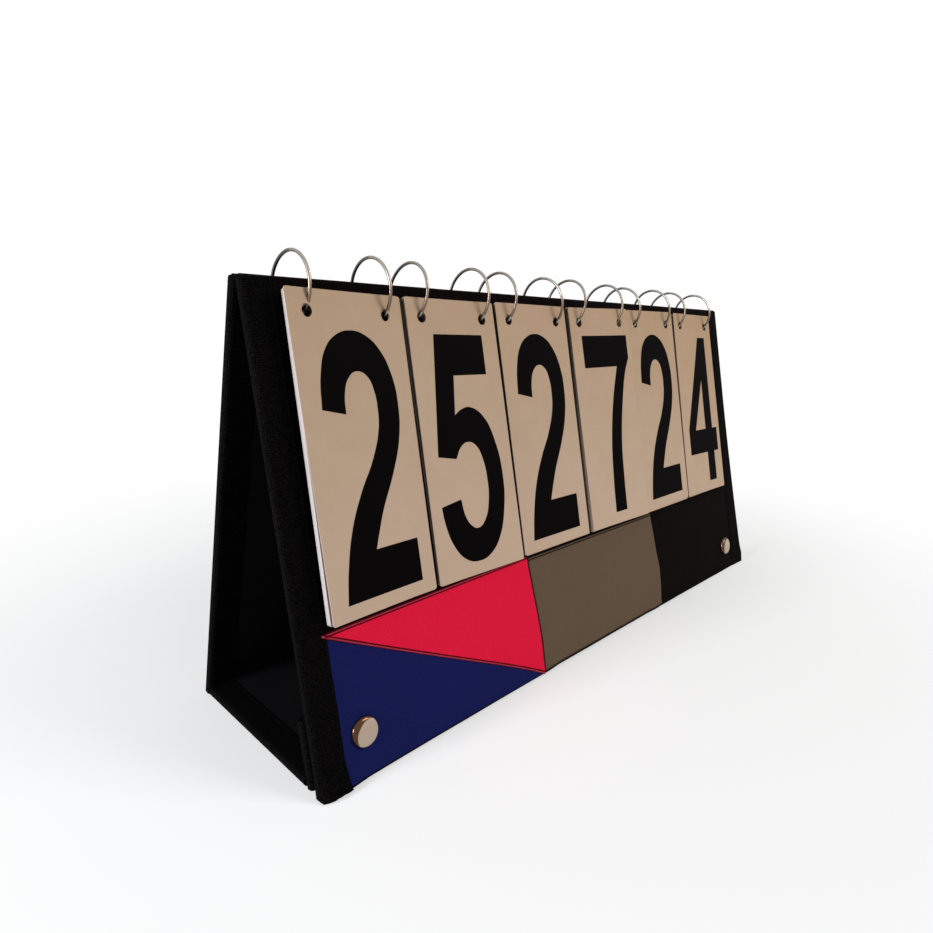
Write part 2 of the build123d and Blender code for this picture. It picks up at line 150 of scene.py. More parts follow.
class Level:
    """A value that changes over a surface, used in sums like an ordinary number."""

    def __init__(self, tree, socket):
        self.tree, self.socket = tree, socket

    __add__, __radd__ = maths("ADD"), maths("ADD", True)
    __sub__, __rsub__ = maths("SUBTRACT"), maths("SUBTRACT", True)
    __mul__, __rmul__ = maths("MULTIPLY"), maths("MULTIPLY", True)
    __truediv__, __rtruediv__ = maths("DIVIDE"), maths("DIVIDE", True)
    __pow__, __gt__, __lt__ = maths("POWER"), maths("GREATER_THAN"), maths("LESS_THAN")
    __abs__ = maths("ABSOLUTE")
    sine = maths("SINE")


class Tree:
    """A node tree and the one way that nodes are added to it."""

    def __init__(self, tree):
        self.tree = tree

    def node(self, kind, settings=None, sockets=None):
        made = self.tree.nodes.new(kind)
        for name, setting in (settings or {}).items():
            if name == "stops":
                ramp = made.color_ramp.elements
                for place, colour in setting[len(ramp):]:
                    ramp.new(place)
                for stop, (place, colour) in zip(ramp, setting):
                    stop.position, stop.color = place, (*colour, 1)
            else:
                setattr(made, name, setting)
        for name, wanted in (sockets or {}).items():
            if isinstance(wanted, Level):
                self.tree.links.new(wanted.socket, made.inputs[name])
            else:
                made.inputs[name].default_value = wanted
        return made

    def value(self, kind, settings=None, sockets=None, output=0):
        return Level(self, self.node(kind, settings, sockets).outputs[output])

    def parts(self, vector):
        """The three parts of a vector."""
        return [Level(self, part) for part in self.node("ShaderNodeSeparateXYZ", None, {0: vector}).outputs]

    def rays(self, *kinds):
        """One for a ray of any of these kinds, and zero for others."""
        path = self.node("ShaderNodeLightPath")
        found = [Level(self, path.outputs[f"Is {kind} Ray"]) for kind in kinds]
        return sum(found[1:], found[0])


class Finish(Tree):
    """A material for one of the object's own surfaces."""

    def __init__(self, name):
        self.material = bpy.data.materials.new(name)
        self.material.use_nodes = True
        super().__init__(self.material.node_tree)
        self.tree.nodes.clear()

    def between(self, low, high, share):
        """A colour that goes from low to high as share goes from 0 to 1."""
        low, high = (c if isinstance(c, Level) else (*c, 1) for c in (low, high))
        return self.value("ShaderNodeMix", {"data_type": "RGBA"}, {0: share, 6: low, 7: high}, 2)

    def place(self):
        """Places in the object's own metres."""
        return self.value("ShaderNodeTexCoord", output="Object")

    def noise(self, scale, detail=2.0, rough=0.5, where=None):
        """Soft blotches, scale of them to the metre, around one half."""
        sockets = {"Vector": where or self.place(), "Scale": scale, "Detail": detail, "Roughness": rough}
        return self.value("ShaderNodeTexNoise", None, sockets)

    def clouds(self):
        """The faint clouding of plated metal."""
        return self.noise(240.0, 4.0, 0.6)

    def clamped(self, level):
        return self.value("ShaderNodeClamp", None, {"Value": level})

    def stretched(self, scales):
        """Places with each direction scaled, for grain and fibres."""
        return self.value("ShaderNodeMapping", None, {"Vector": self.place(), "Scale": scales})

    def along_cloth(self):
        """Distances along the cloth's two threads, from the piece's own map in metres."""
        return self.parts(self.value("ShaderNodeUVMap", {"uv_map": "weave"}))[:2]

    def weave(self, pitch, slant=0.0):
        """Height of a plain weave, 0 between threads and 1 on top of one, and which thread is on top."""
        across, along = self.along_cloth()
        warp = ((across + along * slant) * (pi / pitch)).sine()
        weft = ((along - across * slant) * (pi / pitch)).sine()
        warp_on_top = (warp * weft) > 0.0
        warp, weft = abs(warp), abs(weft)
        over = warp ** 0.8 * weft ** 0.3
        under = weft ** 0.8 * warp ** 0.3
        return warp_on_top * over + (1 - warp_on_top) * under, warp_on_top

    def bump(self, height, depth, strength=1.0, before=None):
        sockets = {"Height": height, "Distance": depth, "Strength": strength}
        if before is not None:
            sockets["Normal"] = before
        return self.value("ShaderNodeBump", None, sockets)

    def surface(self, **sockets):
        """The finished surface; a word's underscores stand for spaces in the shader's socket name."""
        named = {name.replace("_", " "): wanted for name, wanted in sockets.items()}
        shader = self.value("ShaderNodeBsdfPrincipled", None, named)
        self.node("ShaderNodeOutputMaterial", None, {"Surface": shader})
        return self.material


def woven(name, dark, light, pitch=0.0007, depth=0.0001, uneven=0.5):
    """Plain-woven cloth: colour and height follow the threads, the colour lighter on their tops and darker
    between them as painted shade, with a slow unevenness over both.
    """
    made = Finish(name)
    height, warp_on_top = made.weave(pitch)
    slubs = made.noise(0.9 / pitch, 3.0, 0.7)
    worn = made.noise(14.0, 4.0, 0.6)
    # Painted shade: the thread tops are lighter and the hollows between the threads darker.
    lit = height * (1.0 - uneven * 0.5) + (slubs - 0.5) * uneven * 3.0 + warp_on_top * 0.1
    colour = made.between(dark, light, lit * 0.8 + (worn - 0.5) * 0.3)
    normal = made.bump(height + slubs * uneven * 2.0, depth)
    rough = 0.9 - 0.1 * height
    return made.surface(Base_Color=colour, Roughness=rough, Normal=normal, Specular_IOR_Level=0.02)


black_cloth = woven("black_woven_cloth", (0.0016, 0.0008, 0.0009), (0.0056, 0.003, 0.0031), 0.00075, 0.00012)
lining_cloth = woven("black_lining_cloth", (0.004, 0.0038, 0.0046), (0.012, 0.0116, 0.0134), 0.0005, 0.00006)
edge_tape = woven("black_binding_tape", (0.0004, 0.0003, 0.0004), (0.007, 0.0056, 0.0053), 0.0011, 0.0004, 1)
blue_cloth = woven("blue_woven_cloth", (0.0060, 0.0085, 0.062), (0.0120, 0.0155, 0.105))
red_cloth = woven("red_woven_cloth", (0.62, 0.007, 0.036), (0.86, 0.016, 0.060))
# Painted shade: darker cloth in the sunk seams and along the sewn edges of the red and grey patches.
red_seam_shade = woven("red_seam_painted_shade", (0.12, 0.002, 0.006), (0.20, 0.004, 0.012))
grey_seam_shade = woven("grey_seam_painted_shade", (0.016, 0.011, 0.008), (0.034, 0.024, 0.017))
red_hem_cloth = woven("red_folded_cloth", (0.30, 0.022, 0.042), (0.46, 0.050, 0.085))
grey_hem_cloth = woven("grey_folded_cloth", (0.075, 0.050, 0.034), (0.125, 0.086, 0.058))
grey_cloth = woven("grey_woven_cloth", (0.098, 0.066, 0.042), (0.155, 0.108, 0.072))


def thread(name, colour):
    """Sewing thread: two plies twisted together."""
    made = Finish(name)
    twist = made.noise(2600.0, 1.0)
    tone = made.between([c * 0.5 for c in colour], colour, twist * 1.4)
    plies = made.bump(twist, 0.00008)
    return made.surface(Base_Color=tone, Roughness=0.7, Normal=plies, Specular_IOR_Level=0.02)


black_thread = thread("black_thread", (0.0035, 0.0030, 0.0032))
red_thread = thread("dark_red_thread", (0.075, 0.002, 0.006))
grey_thread = thread("dark_grey_thread", (0.022, 0.017, 0.013))


def card_stock(name, light, dark):
    """Satin card: faint mottling, handling marks and a fine tooth, darker and yellower upwards, and darker and
    yellower to the right as painted shade.
    """
    made = Finish(name)
    tooth = made.noise(5200.0)
    marks = made.noise(90.0, 6.0, 0.65)
    mottle = made.noise(22.0, 3.0)
    right, _, high = made.parts(made.place())
    to_right = right + 0.2
    # Darker and yellower upwards; to the right this is painted shade.
    darker_up_and_shaded_right = (high - 0.135) * 6.0 + to_right * to_right * 2.6
    tone = made.between(light, dark, (mottle * 0.5 + marks * 0.4) - 0.3 + darker_up_and_shaded_right)
    return made.surface(
        Base_Color=tone,
        Roughness=0.42 + marks * 0.2,
        Normal=made.bump(tooth * 0.4 + mottle * 4.0, 0.00004),
        Specular_IOR_Level=0.06,
    )


card_white = card_stock("satin_number_card", (0.486, 0.355, 0.262), (0.388, 0.262, 0.160))
card_core = card_stock("cut_card_edge", (0.46, 0.41, 0.405), (0.36, 0.315, 0.305))
# Dark card edge: painted shade for the holes and for the leaves' edges in the gaps between stacks.
shaded_core = card_stock("card_edge_painted_shade", (0.060, 0.050, 0.045), (0.035, 0.030, 0.027))


def printed_ink(name):
    """Black ink on the cards, a little patchy and slightly glossier than they are."""
    made = Finish(name)
    patchy = made.noise(160.0, 5.0, 0.6)
    tone = made.between((0.0010, 0.0006, 0.0008), (0.0030, 0.0018, 0.0021), patchy)
    tooth, rough = made.bump(made.noise(4200.0), 0.00003), 0.5 + patchy * 0.2
    return made.surface(Base_Color=tone, Roughness=rough, Normal=tooth, Specular_IOR_Level=0.01)


number_ink = printed_ink("black_printed_ink")


def plated(name, colour, rough):
    """Nickel plate: fine turning marks, faint clouding and small scratches."""
    made = Finish(name)
    cloud = made.clouds()
    scratch = made.noise(1.0, 2.0, 0.7, made.stretched((300.0, 9000.0, 2600.0)))
    tone = made.between([c * 0.82 for c in colour], colour, cloud * 1.3)
    return made.surface(
        Base_Color=tone,
        Metallic=1.0,
        Roughness=rough + (cloud - 0.5) * 0.14,
        Normal=made.bump(scratch, 0.00001, 0.35),
    )


def wire_with_painted_reflections(name):
    """Nickel wire with painted reflections: bright round its outer side, dull inside, brown where it goes into
    the front eyelet, and painted shade darkening its rear half.
    """
    made = Finish(name)
    around, along = made.along_cloth()
    # Painted reflection: bright on the ring's outer side, dark on its inner side.
    painted_bright_side = (around * 1000 + pi / 2).sine() * 0.5 + 0.5
    brown_from, brown_to = 1.0, 2.15
    angle = along * (1000 / ring_radius)
    # Painted reflection: brown where the wire goes into the front eyelet.
    brown_reflection = made.clamped((angle - brown_from) * 2.5) * (angle < brown_to)
    # Painted shade: the rear half of the ring is darker.
    rear = (along < 0.0) * 0.6
    cloud = made.clouds()
    metal = made.between((0.085, 0.070, 0.058), (0.36, 0.33, 0.29), painted_bright_side * 1.1 + (cloud - 0.5) * 0.5)
    with_brown_reflection = made.between(metal, (0.13, 0.085, 0.055), brown_reflection * 0.8)
    tone = made.between(with_brown_reflection, (0.060, 0.045, 0.036), rear)
    return made.surface(Base_Color=tone, Metallic=1.0, Roughness=0.28 + cloud * 0.08)


wire_nickel = wire_with_painted_reflections("ring_wire_painted_reflections")
fitting_nickel = plated("dull_nickel", (0.40, 0.38, 0.35), 0.32)
# Near-black metal for the eyelets.
dark_fitting = plated("near_black_eyelet", (0.010, 0.008, 0.007), 0.45)


def cap_with_painted_reflection(name, colour, reflected_brown):
    """Nickel cap with a painted reflection: a brown crescent on the upper left of its rolled rim."""
    made = Finish(name)
    from_middle, around = made.along_cloth()
    rim_start, darkest_way = 6.7, 138
    facing = (around * (2 * pi / (lathe_map * MM)) + (pi / 2 - radians(darkest_way))).sine()
    cloud = made.clouds()
    # Painted reflection: a brown crescent on the upper left of the rim.
    crescent = (from_middle * 1000 - rim_start) + facing * 2.5 + (cloud - 0.5) * 0.9
    brown = made.clamped(crescent * 1.6) * (from_middle < 0.0080)
    bright = made.between([c * 0.9 for c in colour], colour, cloud * 1.3)
    tone = made.between(bright, reflected_brown, brown)
    return made.surface(Base_Color=tone, Metallic=1.0, Roughness=0.2 + (cloud - 0.5) * 0.12)


nickel = cap_with_painted_reflection("nickel_snap_cap", (0.47, 0.365, 0.275), (0.088, 0.044, 0.026))


def grey_board(name):
    """Dense recycled board: short fibres pressed flat."""
    made = Finish(name)
    fibres = made.noise(1.0, 4.0, 0.7, made.stretched((240.0, 2600.0, 2600.0)))
    tone = made.between((0.22, 0.20, 0.17), (0.46, 0.42, 0.37), fibres * 1.2)
    return made.surface(Base_Color=tone, Roughness=0.9, Normal=made.bump(fibres, 0.0001))


board_core = grey_board("grey_board_core")


# ---------------------------------------------------------------- making meshes
def linked(name, data):
    """A new object in the scene."""
    made = bpy.data.objects.new(name, data)
    bpy.context.collection.objects.link(made)
    return made


def finished(mesh, name, finish, ridden, hides=(), crease=40):
    """Names a mesh, gives it its finish and smooth shading, and puts it on the body it moves with when that is
    given by name.
    """
    mesh.name = name
    if finish is not None:
        mesh.materials.clear()
        mesh.materials.append(finish)
    for face in mesh.polygons:
        face.use_smooth = True
    mesh.set_sharp_from_angle(angle=radians(crease))
    made = linked(name, mesh)
    if isinstance(ridden, str):
        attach(made, ridden)
    else:
        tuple(ridden[2])
        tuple(ridden[3])
        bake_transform(made)
    if hides:
        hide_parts(*hides)
    return made


def sheet(mesh, name, finish, slot, ridden, hides, flat, rests, held="stretched", crease=40, **size):
    """A finished piece that is a sheet; flat, its size laid out in metres, is not used."""
    made = finished(mesh, name, finish, ridden, hides, crease)


def closed_mesh(bm, name):
    """The plain mesh of a closed solid, with its faces outwards."""
    bmesh.ops.recalc_face_normals(bm, faces=bm.faces[:])
    mesh = bpy.data.meshes.new(name)
    bm.to_mesh(mesh)
    bm.free()
    return mesh


def swept(rings, map_across, map_along, closed=False):
    """Closed solid from a row of equal outlines, rings[row][point]; the map is in metres."""
    rows, points = rings.shape[:2]
    bm = bmesh.new()
    grid = [[bm.verts.new(p * MM) for p in ring] for ring in rings]
    weave = bm.loops.layers.uv.new("weave")
    for i in range(rows if closed else rows - 1):
        for j in range(points):
            k, m = (j + 1) % points, (i + 1) % rows
            face = bm.faces.new((grid[i][j], grid[i][k], grid[m][k], grid[m][j]))
            for loop, (a, b) in zip(face.loops, ((i, j), (i, j + 1), (i + 1, j + 1), (i + 1, j))):
                loop[weave].uv = (map_across[b] * MM, map_along[a] * MM)
    if not closed:
        bm.faces.new(grid[0][::-1])
        bm.faces.new(grid[-1])
    return closed_mesh(bm, "swept")


def rounded(corners, step=3.0, closed=False):
    """Points along straight runs with round corners; each corner is (a, b, radius)."""
    count = len(corners)
    runs = []
    for i, (a, b, radius) in enumerate(corners):
        here = np.array((a, b), float)
        if not closed and i in (0, count - 1) or radius == 0:
            runs.append([here])
            continue
        before = np.array(corners[i - 1][:2], float) - here
        after = np.array(corners[(i + 1) % count][:2], float) - here
        before, after = before / np.linalg.norm(before), after / np.linalg.norm(after)
        half_angle = np.arccos(np.clip(before @ after, -1, 1)) / 2
        reach = radius / np.tan(half_angle)
        middle = here + (before + after) / np.linalg.norm(before + after) * radius / np.sin(half_angle)
        start, end = here + before * reach - middle, here + after * reach - middle
        turn = pi - 2 * half_angle
        parts = max(2, ceil(turn / radians(14)))
        cross = start[0] * end[1] - start[1] * end[0]
        way = 1 if cross > 0 else -1
        arc = []
        for part in range(parts + 1):
            angle = way * turn * part / parts
            a, b = start
            spun = (a * cos(angle) - b * sin(angle), a * sin(angle) + b * cos(angle))
            arc.append(middle + np.array(spun))
        runs.append(arc)
    if closed:
        runs.append([runs[0][0]])
    line = list(runs[0])
    for run_points in runs[1:]:
        last, nearest = line[-1], run_points[0]
        parts = max(1, ceil(np.linalg.norm(nearest - last) / step))
        line += [last + (nearest - last) * part / parts for part in range(1, parts)]
        line += run_points
    return np.array(line[:-1] if closed else line)


def travelled(line):
    """Distance along a line of points, from its start."""
    return np.concatenate(([0.0], np.cumsum(np.linalg.norm(np.diff(line, axis=0), axis=1))))


def left_of(line):
    """Unit vectors to the left of an open line in a plane, at each of its points."""
    steps = np.diff(line, axis=0)
    steps /= np.linalg.norm(steps, axis=1)[:, None]
    mean = np.concatenate((steps, steps[-1:])) + np.concatenate((steps[:1], steps))
    mean /= np.linalg.norm(mean, axis=1)[:, None]
    return np.stack((-mean[:, 1], mean[:, 0]), 1)


class Waves:
    """Slow random unevenness over a plane, between about -1 and 1."""

    def __init__(self, size, count=7):
        angle = draw.uniform(0, 2 * pi, count)
        pace = 2 * pi / (size * draw.uniform(0.6, 1.7, count))
        self.a, self.b = np.cos(angle) * pace, np.sin(angle) * pace
        self.start = draw.uniform(0, 2 * pi, count)

    def __call__(self, x, y):
        x, y = np.asarray(x, float)[..., None], np.asarray(y, float)[..., None]
        return np.sin(self.a * x + self.b * y + self.start).sum(-1) / sqrt(len(self.start)) * 0.8


def side_view(face, y, z):
    """Place of a point on a face as seen along the stand: (Y, Z)."""
    return tuple(face.at(0, y, z)[1:])


def cloth_band(line, low_x, high_x, thickness, step_x, wave=None, wave_size=0.0):
    """Cloth of even thickness along a line seen from the stand's end, with slow waves on its outside."""
    distance = travelled(line)
    out = left_of(line)
    inner = line - out * thickness
    stations = np.linspace(low_x, high_x, max(2, ceil((high_x - low_x) / step_x)) + 1)
    rings = []
    for x in stations:
        lift = wave_size * (0.5 + 0.5 * wave(x, distance))[:, None] if wave else 0.0
        outer = line + out * lift
        loop = np.concatenate((outer, inner[::-1]))
        rings.append(np.column_stack((np.full(len(loop), x), loop)))
    across = np.concatenate((distance, distance[::-1], distance[:1]))
    return swept(np.array(rings), across, stations)


def pierced(mesh, holes):
    """Cuts round holes through a mesh: each is (place, axis, radius), in millimetres."""
    cutter = bmesh.new()
    for place, axis, radius in holes:
        turn = Vector(axis).to_track_quat("Z", "Y").to_matrix().to_4x4()
        bmesh.ops.create_cone(
            cutter, cap_ends=True, segments=28, radius1=radius * MM, radius2=radius * MM,
            depth=14 * MM, matrix=Matrix.Translation(Vector(place) * MM) @ turn,
        )
    cut_mesh = bpy.data.meshes.new("cutter")
    cutter.to_mesh(cut_mesh)
    cutter.free()
    whole, drill = linked("whole", mesh), linked("drill", cut_mesh)
    cut = whole.modifiers.new("cut", "BOOLEAN")
    cut.object, cut.operation, cut.solver = drill, "DIFFERENCE", "EXACT"
    result = evaluated_mesh(whole)
    for made in (whole, drill):
        bpy.data.objects.remove(made)
    return result


def evaluated_mesh(made):
    """The plain mesh of an object after its modifiers."""
    depsgraph = bpy.context.evaluated_depsgraph_get()
    depsgraph.update()
    return bpy.data.meshes.new_from_object(made.evaluated_get(depsgraph), depsgraph=depsgraph)


def split_along(bm, place, direction, nearest):
    """Cuts a flat shape's faces along a line, where it isn't cut there already."""
    bmesh.ops.bisect_plane(
        bm, geom=bm.verts[:] + bm.edges[:] + bm.faces[:], dist=nearest, plane_co=place, plane_no=direction
    )


def flat_shape(outlines, columns=(), rows=()):
    """Filled flat shape in millimetres, cut along columns and rows so that it can bend."""
    curve = bpy.data.curves.new("outline", "CURVE")
    curve.dimensions, curve.fill_mode, curve.resolution_u = "2D", "FRONT", 6
    for points in outlines:
        spline = curve.splines.new("BEZIER")
        spline.bezier_points.add(len(points) - 1)
        spline.use_cyclic_u = True
        for point, (x, y, is_corner) in zip(spline.bezier_points, points):
            point.co = (x, y, 0)
            point.handle_left_type = point.handle_right_type = "VECTOR" if is_corner else "AUTO"
    holder = linked("outline", curve)
    mesh = evaluated_mesh(holder)
    bpy.data.objects.remove(holder)
    bm = bmesh.new()
    bm.from_mesh(mesh)
    bmesh.ops.remove_doubles(bm, verts=bm.verts[:], dist=0.001)
    for direction, places in (((1, 0, 0), columns), ((0, 1, 0), rows)):
        for place in places:
            split_along(bm, Vector(direction) * float(place), direction, 1e-5)
    return bm


def raised(bm, place, low, high):
    """Closed solid over a flat shape; place(x, y, z) bends it, low and high are numbers or arrays of z."""
    flat = np.array([v.co[:2] for v in bm.verts])
    bm.verts.index_update()
    faces = [[v.index for v in f.verts] for f in bm.faces]
    rim = [tuple(v.index for v in e.verts) for e in bm.edges if len(e.link_faces) == 1]
    count = len(flat)
    x, y = flat[:, 0], flat[:, 1]
    top = place(x, y, np.broadcast_to(high, count))
    bottom = place(x, y, np.broadcast_to(low, count))
    solid = bmesh.new()
    verts = [solid.verts.new(p * MM) for p in np.concatenate((top, bottom))]
    weave = solid.loops.layers.uv.new("weave")
    for corners in faces:
        solid.faces.new([verts[i] for i in corners])
        solid.faces.new([verts[count + i] for i in reversed(corners)])
    for a, b in rim:
        solid.faces.new((verts[a], verts[b], verts[count + b], verts[count + a]))
    solid.verts.index_update()
    for face in solid.faces:
        for loop in face.loops:
            loop[weave].uv = flat[loop.vert.index % count] * MM
    bm.free()
    return closed_mesh(solid, "raised")


def joined(meshes):
    """One mesh from several, with the first one's finishes."""
    bm = bmesh.new()
    for mesh in meshes:
        bm.from_mesh(mesh)
    whole = bpy.data.meshes.new("joined")
    bm.to_mesh(whole)
    bm.free()
    for finish in meshes[0].materials:
        whole.materials.append(finish)
    return whole


def points_of(text, x=0.0, y=0.0):
    """Outline points from text such as '^9.7,7 34.4,37.8', where ^ marks a corner."""
    found = []
    for word in text.split():
        a, b = word.lstrip("^").split(",")
        found.append((float(a) + x, float(b) + y, word.startswith("^")))
    return found


# ---------------------------------------------------------------- outer cloth over the ridge
def mirrored(corners):
    """The back's corners of a line over the ridge, from the front's."""
    return [(-y, z, radius) for y, z, radius in reversed(corners)]


ridge_lift = 0.6
ridge_top = ridge_height + ridge_lift
over_front = [
    (*side_view(front, 0, -panel_thickness), 0),
    (*side_view(front, 0, 0), 1.0),
    (*side_view(front, panel_height + ridge_lift / rise, 0), 2.0),
    (-2.2, ridge_top, 1.5),
]
ridge_line = rounded([*over_front, (0, ridge_top - 0.5, 1.5), *mirrored(over_front)], 4.0)
ridge_turn = ("back_panel", "front_panel", (0, 0.002, 0.228), (0, -0.002, 0.228))

slack_height = 14.0
slipped_down = ((-228, -60, -52, 58, 74, 82, 130, 205, 228), (1.0, 1.0, 0.1, 0.0, 0.6, 0.1, 0.3, 0.8, 1.0))
stood_off = ((-228.5, -224, -214, -203, -184, -150, -110), (1.6, 4.0, 3.6, 1.9, 1.2, 0.5, 0.0))


def foot_slack(x, y):
    """How far the front's cloth has slipped below its board and stands off it: (down, out)."""
    near = np.clip(1 - np.asarray(y) / slack_height, 0, 1) ** 2
    return near * np.interp(x, *slipped_down), near * np.interp(x, *stood_off)


def with_slack_foot(mesh):
    """Lets the front's cloth hang and stand off along its foot."""
    for vertex in mesh.vertices:
        x, y, z = front_local(vertex.co / MM)
        if y < slack_height and abs(z) < 1.2:
            down, out = foot_slack(x, y)
            down = down * np.clip(1 + z, 0, 1)
            vertex.co += Vector((front.out * out - front.up * down) * MM)
    return mesh


def round_holes(face, places, radius):
    """Holes through a face, for pierced."""
    return [(face.at(x, y), face.out, radius) for x, y in places]


front_rings = [(x, front_eyelet_y) for x in ring_x]
back_rings = [(-x, back_eyelet_y) for x in ring_x]
snaps = [(side * snap_x, snap_y) for side in (-1, 1)]
front_holes = round_holes(front, front_rings, 3.5)
back_holes = round_holes(back, back_rings, 5.1)
snap_holes = round_holes(front, snaps, snap_barrel)
flap_holes = round_holes(flap, snaps, snap_barrel)
outer_mesh = cloth_band(ridge_line, -panel_cloth_end, panel_cloth_end, cloth_thickness, 5.0, Waves(60), 0.12)
sheet(
    pierced(with_slack_foot(outer_mesh), front_holes + back_holes + snap_holes),
    "outer_cloth", black_cloth, "black_cloth", ridge_turn, ("front_cover", "back_cover", "ridge_strip"),
    (0.454, 0.486), ["front_board", "back_board"],
)


# ---------------------------------------------------------------- linings
def lining(word, body, face, low, high, holes):
    """Inner cloth glued on a board."""
    stops = np.linspace(low, high, ceil((high - low) / 6) + 1)
    line = np.array([side_view(face, y, -panel_thickness) for y in stops])
    if left_of(line)[0] @ face.out[1:] > 0:
        line = line[::-1]
    sheet(
        pierced(cloth_band(line, -panel_cloth_end, panel_cloth_end, cloth_thickness, 6.0), holes),
        f"{body}_lining", lining_cloth, "black_cloth", body, (f"{word}_lining",),
        (0.454, (high - low) * MM), [f"{word}_board"],
    )


lining("front", "front_panel", front, cloth_thickness, panel_height, front_holes + snap_holes)
lining("back", "back_panel", back, cloth_thickness, panel_height, back_holes)
lining("flap", "snap_flap", flap, flap_low + cloth_thickness, flap_high - cloth_thickness, flap_holes)

base_stops = np.linspace(base_back - cloth_thickness, base_front + cloth_thickness, 22)
sheet(
    cloth_band(
        np.array([(y, base_top) for y in base_stops]), -base_lining_end, base_lining_end, cloth_thickness, 6.0
    ),
    "base_panel_lining", lining_cloth, "black_cloth", "base_panel", ("base_lining",),
    (0.4544, 0.0978), ["base_board"],
)

# ---------------------------------------------------------------- base and flap covers
base_foot = 0.08
base_line = rounded(
    [
        (base_back, base_top, 0), (base_back, base_foot, 0.75),
        (base_front, base_foot, 0.75), (base_front, base_top, 0),
    ],
    5.0,
)
flap_line = rounded(
    [
        (*side_view(flap, flap_low, -panel_thickness), 0),
        (*side_view(flap, flap_low, 0), 0.9),
        (*side_view(flap, flap_high, 0), 0.9),
        (*side_view(flap, flap_high, -panel_thickness), 0),
    ],
    4.0,
)
base_mesh, flap_mesh = (
    cloth_band(line, -cover_end, cover_end, cloth_thickness, 6.0) for line in (base_line, flap_line)
)
for word, body, mesh, flat in (
    ("base", "base_panel", base_mesh, (0.455, 0.107)),
    ("flap", "snap_flap", pierced(flap_mesh, flap_holes), (0.455, 0.0408)),
):
    sheet(
        mesh, f"{word}_outer_cloth", black_cloth, "black_cloth", body, (f"{word}_cover",),
        flat, [f"{word}_board"],
    )


# ---------------------------------------------------------------- binding tape round the ends
def binding_section(back_face):
    """Section of the tape folded round a board's end: (distance from the tape's inner edge, z)."""
    over, under = tape_thickness, back_face - tape_thickness
    wall = tape_width - tape_thickness
    return rounded(
        [
            (0, 0.02, 0.0), (0, over, 0.4), (tape_width, over, 1.9), (tape_width, under, 1.9),
            (0, under, 0.4), (0, back_face - 0.02, 0.0), (wall, back_face - 0.02, 0.9), (wall, 0.02, 0.9),
        ],
        1.6,
        True,
    )


def no_slack(far, reach, depth):
    """How far the tape is moved: far along it, reach towards the end, at some depth in the board."""
    return np.zeros((len(reach), 3))


def hanging_left_end(far, reach, depth):
    """The left tape's foot stands off the board and curls forward, with a frayed end."""
    loose = np.clip(1 - far / 20, 0, 1) ** 2
    frayed = draw.uniform(0.0, 0.7, len(reach)) if far == 0 else np.full(len(reach), 0.2 * loose)
    down, out = foot_slack(-half_clear - reach, far)
    facing = np.clip((depth + 2.5) / 2.5, 0, 1)
    sideways = -0.5 * loose * np.clip(reach / tape_width, 0, 1)
    return (
        sideways[:, None] * (1, 0, 0) + (out * facing)[:, None] * front.out
        - (np.minimum(down, 0.9) * facing - frayed * 0.8)[:, None] * front.up
    )


def slack_right_end(far, reach, depth):
    """The right tape stands off the board's end, more and more towards its foot."""
    loose = np.clip(1 - far / 150, 0, 1) ** 1.5 + 0.25 * np.exp(-((far - 8) / 5) ** 2)
    outer = np.clip(reach / tape_width, 0, 1) ** 2
    return loose * outer[:, None] * (5.2 * np.array((1, 0, 0)) + 1.0 * front.out)


def binding(part, word, side, face_rows, back_face, ridden, nodes, flat_length, rests, slack=no_slack):
    """Tape along a board's end. face_rows holds, for each row, its places at z = 0 and at z = back_face."""
    section = binding_section(back_face)
    reach, depth = section[:, 0], section[:, 1]
    rings = []
    distance = travelled(np.array([outer for outer, inner in face_rows]))
    ripple = Waves(26)
    for far, (outer, inner) in zip(distance, face_rows):
        outer, inner = np.array(outer), np.array(inner)
        places = outer + (inner - outer) * (depth / back_face)[:, None]
        x = side * (half_length - tape_width + reach)
        x = x + side * 0.25 * ripple(far, depth) * (reach < 2)
        rings.append(np.column_stack((x, places)) + slack(far, reach, depth))
    across = travelled(np.concatenate((section, section[:1])))
    sheet(
        swept(np.array(rings), across, distance), f"{part}_binding_{word}", edge_tape, "edge_tape", ridden,
        [f"{node}_tape_{word}" for node in nodes], (0.0355, flat_length), [rests], "folded",
    )


def over_ridge_rows():
    """Rows of the tape from the front panel's foot over the ridge to the back panel's foot."""
    corner = 1.4
    half = [(*side_view(front, 0, 0), 0), (*side_view(front, panel_height, 0), corner)]
    outer_run = rounded(half + mirrored(half), 3.0)
    run_length = travelled(outer_run)
    whole = run_length[-1]
    tops = [np.array(side_view(face, panel_height - 0.2, -panel_thickness)) for face in (front, back)]
    rows = []
    for far, place in zip(run_length, outer_run):
        if far <= panel_height - corner:
            inner = side_view(front, far, -panel_thickness)
        elif far >= whole - panel_height + corner:
            inner = side_view(back, whole - far, -panel_thickness)
        else:
            share = (far - panel_height + corner) / (whole - 2 * panel_height + 2 * corner)
            inner = tops[0] + (tops[1] - tops[0]) * share
        rows.append((place, inner))
    return rows


ridge_rows = over_ridge_rows()
base_rows = [((y, base_top), (y, tape_thickness)) for y in np.linspace(base_front, base_back, 34)]
flap_rows = [
    (side_view(flap, y, 0), side_view(flap, y, -panel_thickness)) for y in np.linspace(flap_low, flap_high, 14)
]
for word, side, slack in (("left", -1, hanging_left_end), ("right", 1, slack_right_end)):
    binding(
        "panel", word, side, ridge_rows, -panel_thickness, ridge_turn,
        ("front", "back"), 0.475, "outer_cloth", slack,
    )
    binding(
        "base", word, side, base_rows, tape_thickness - base_top, "base_panel",
        ("base",), 0.099, "base_outer_cloth",
    )
    binding(
        "flap", word, side, flap_rows, -panel_thickness, "snap_flap",
        ("flap",), 0.033, "flap_outer_cloth",
    )


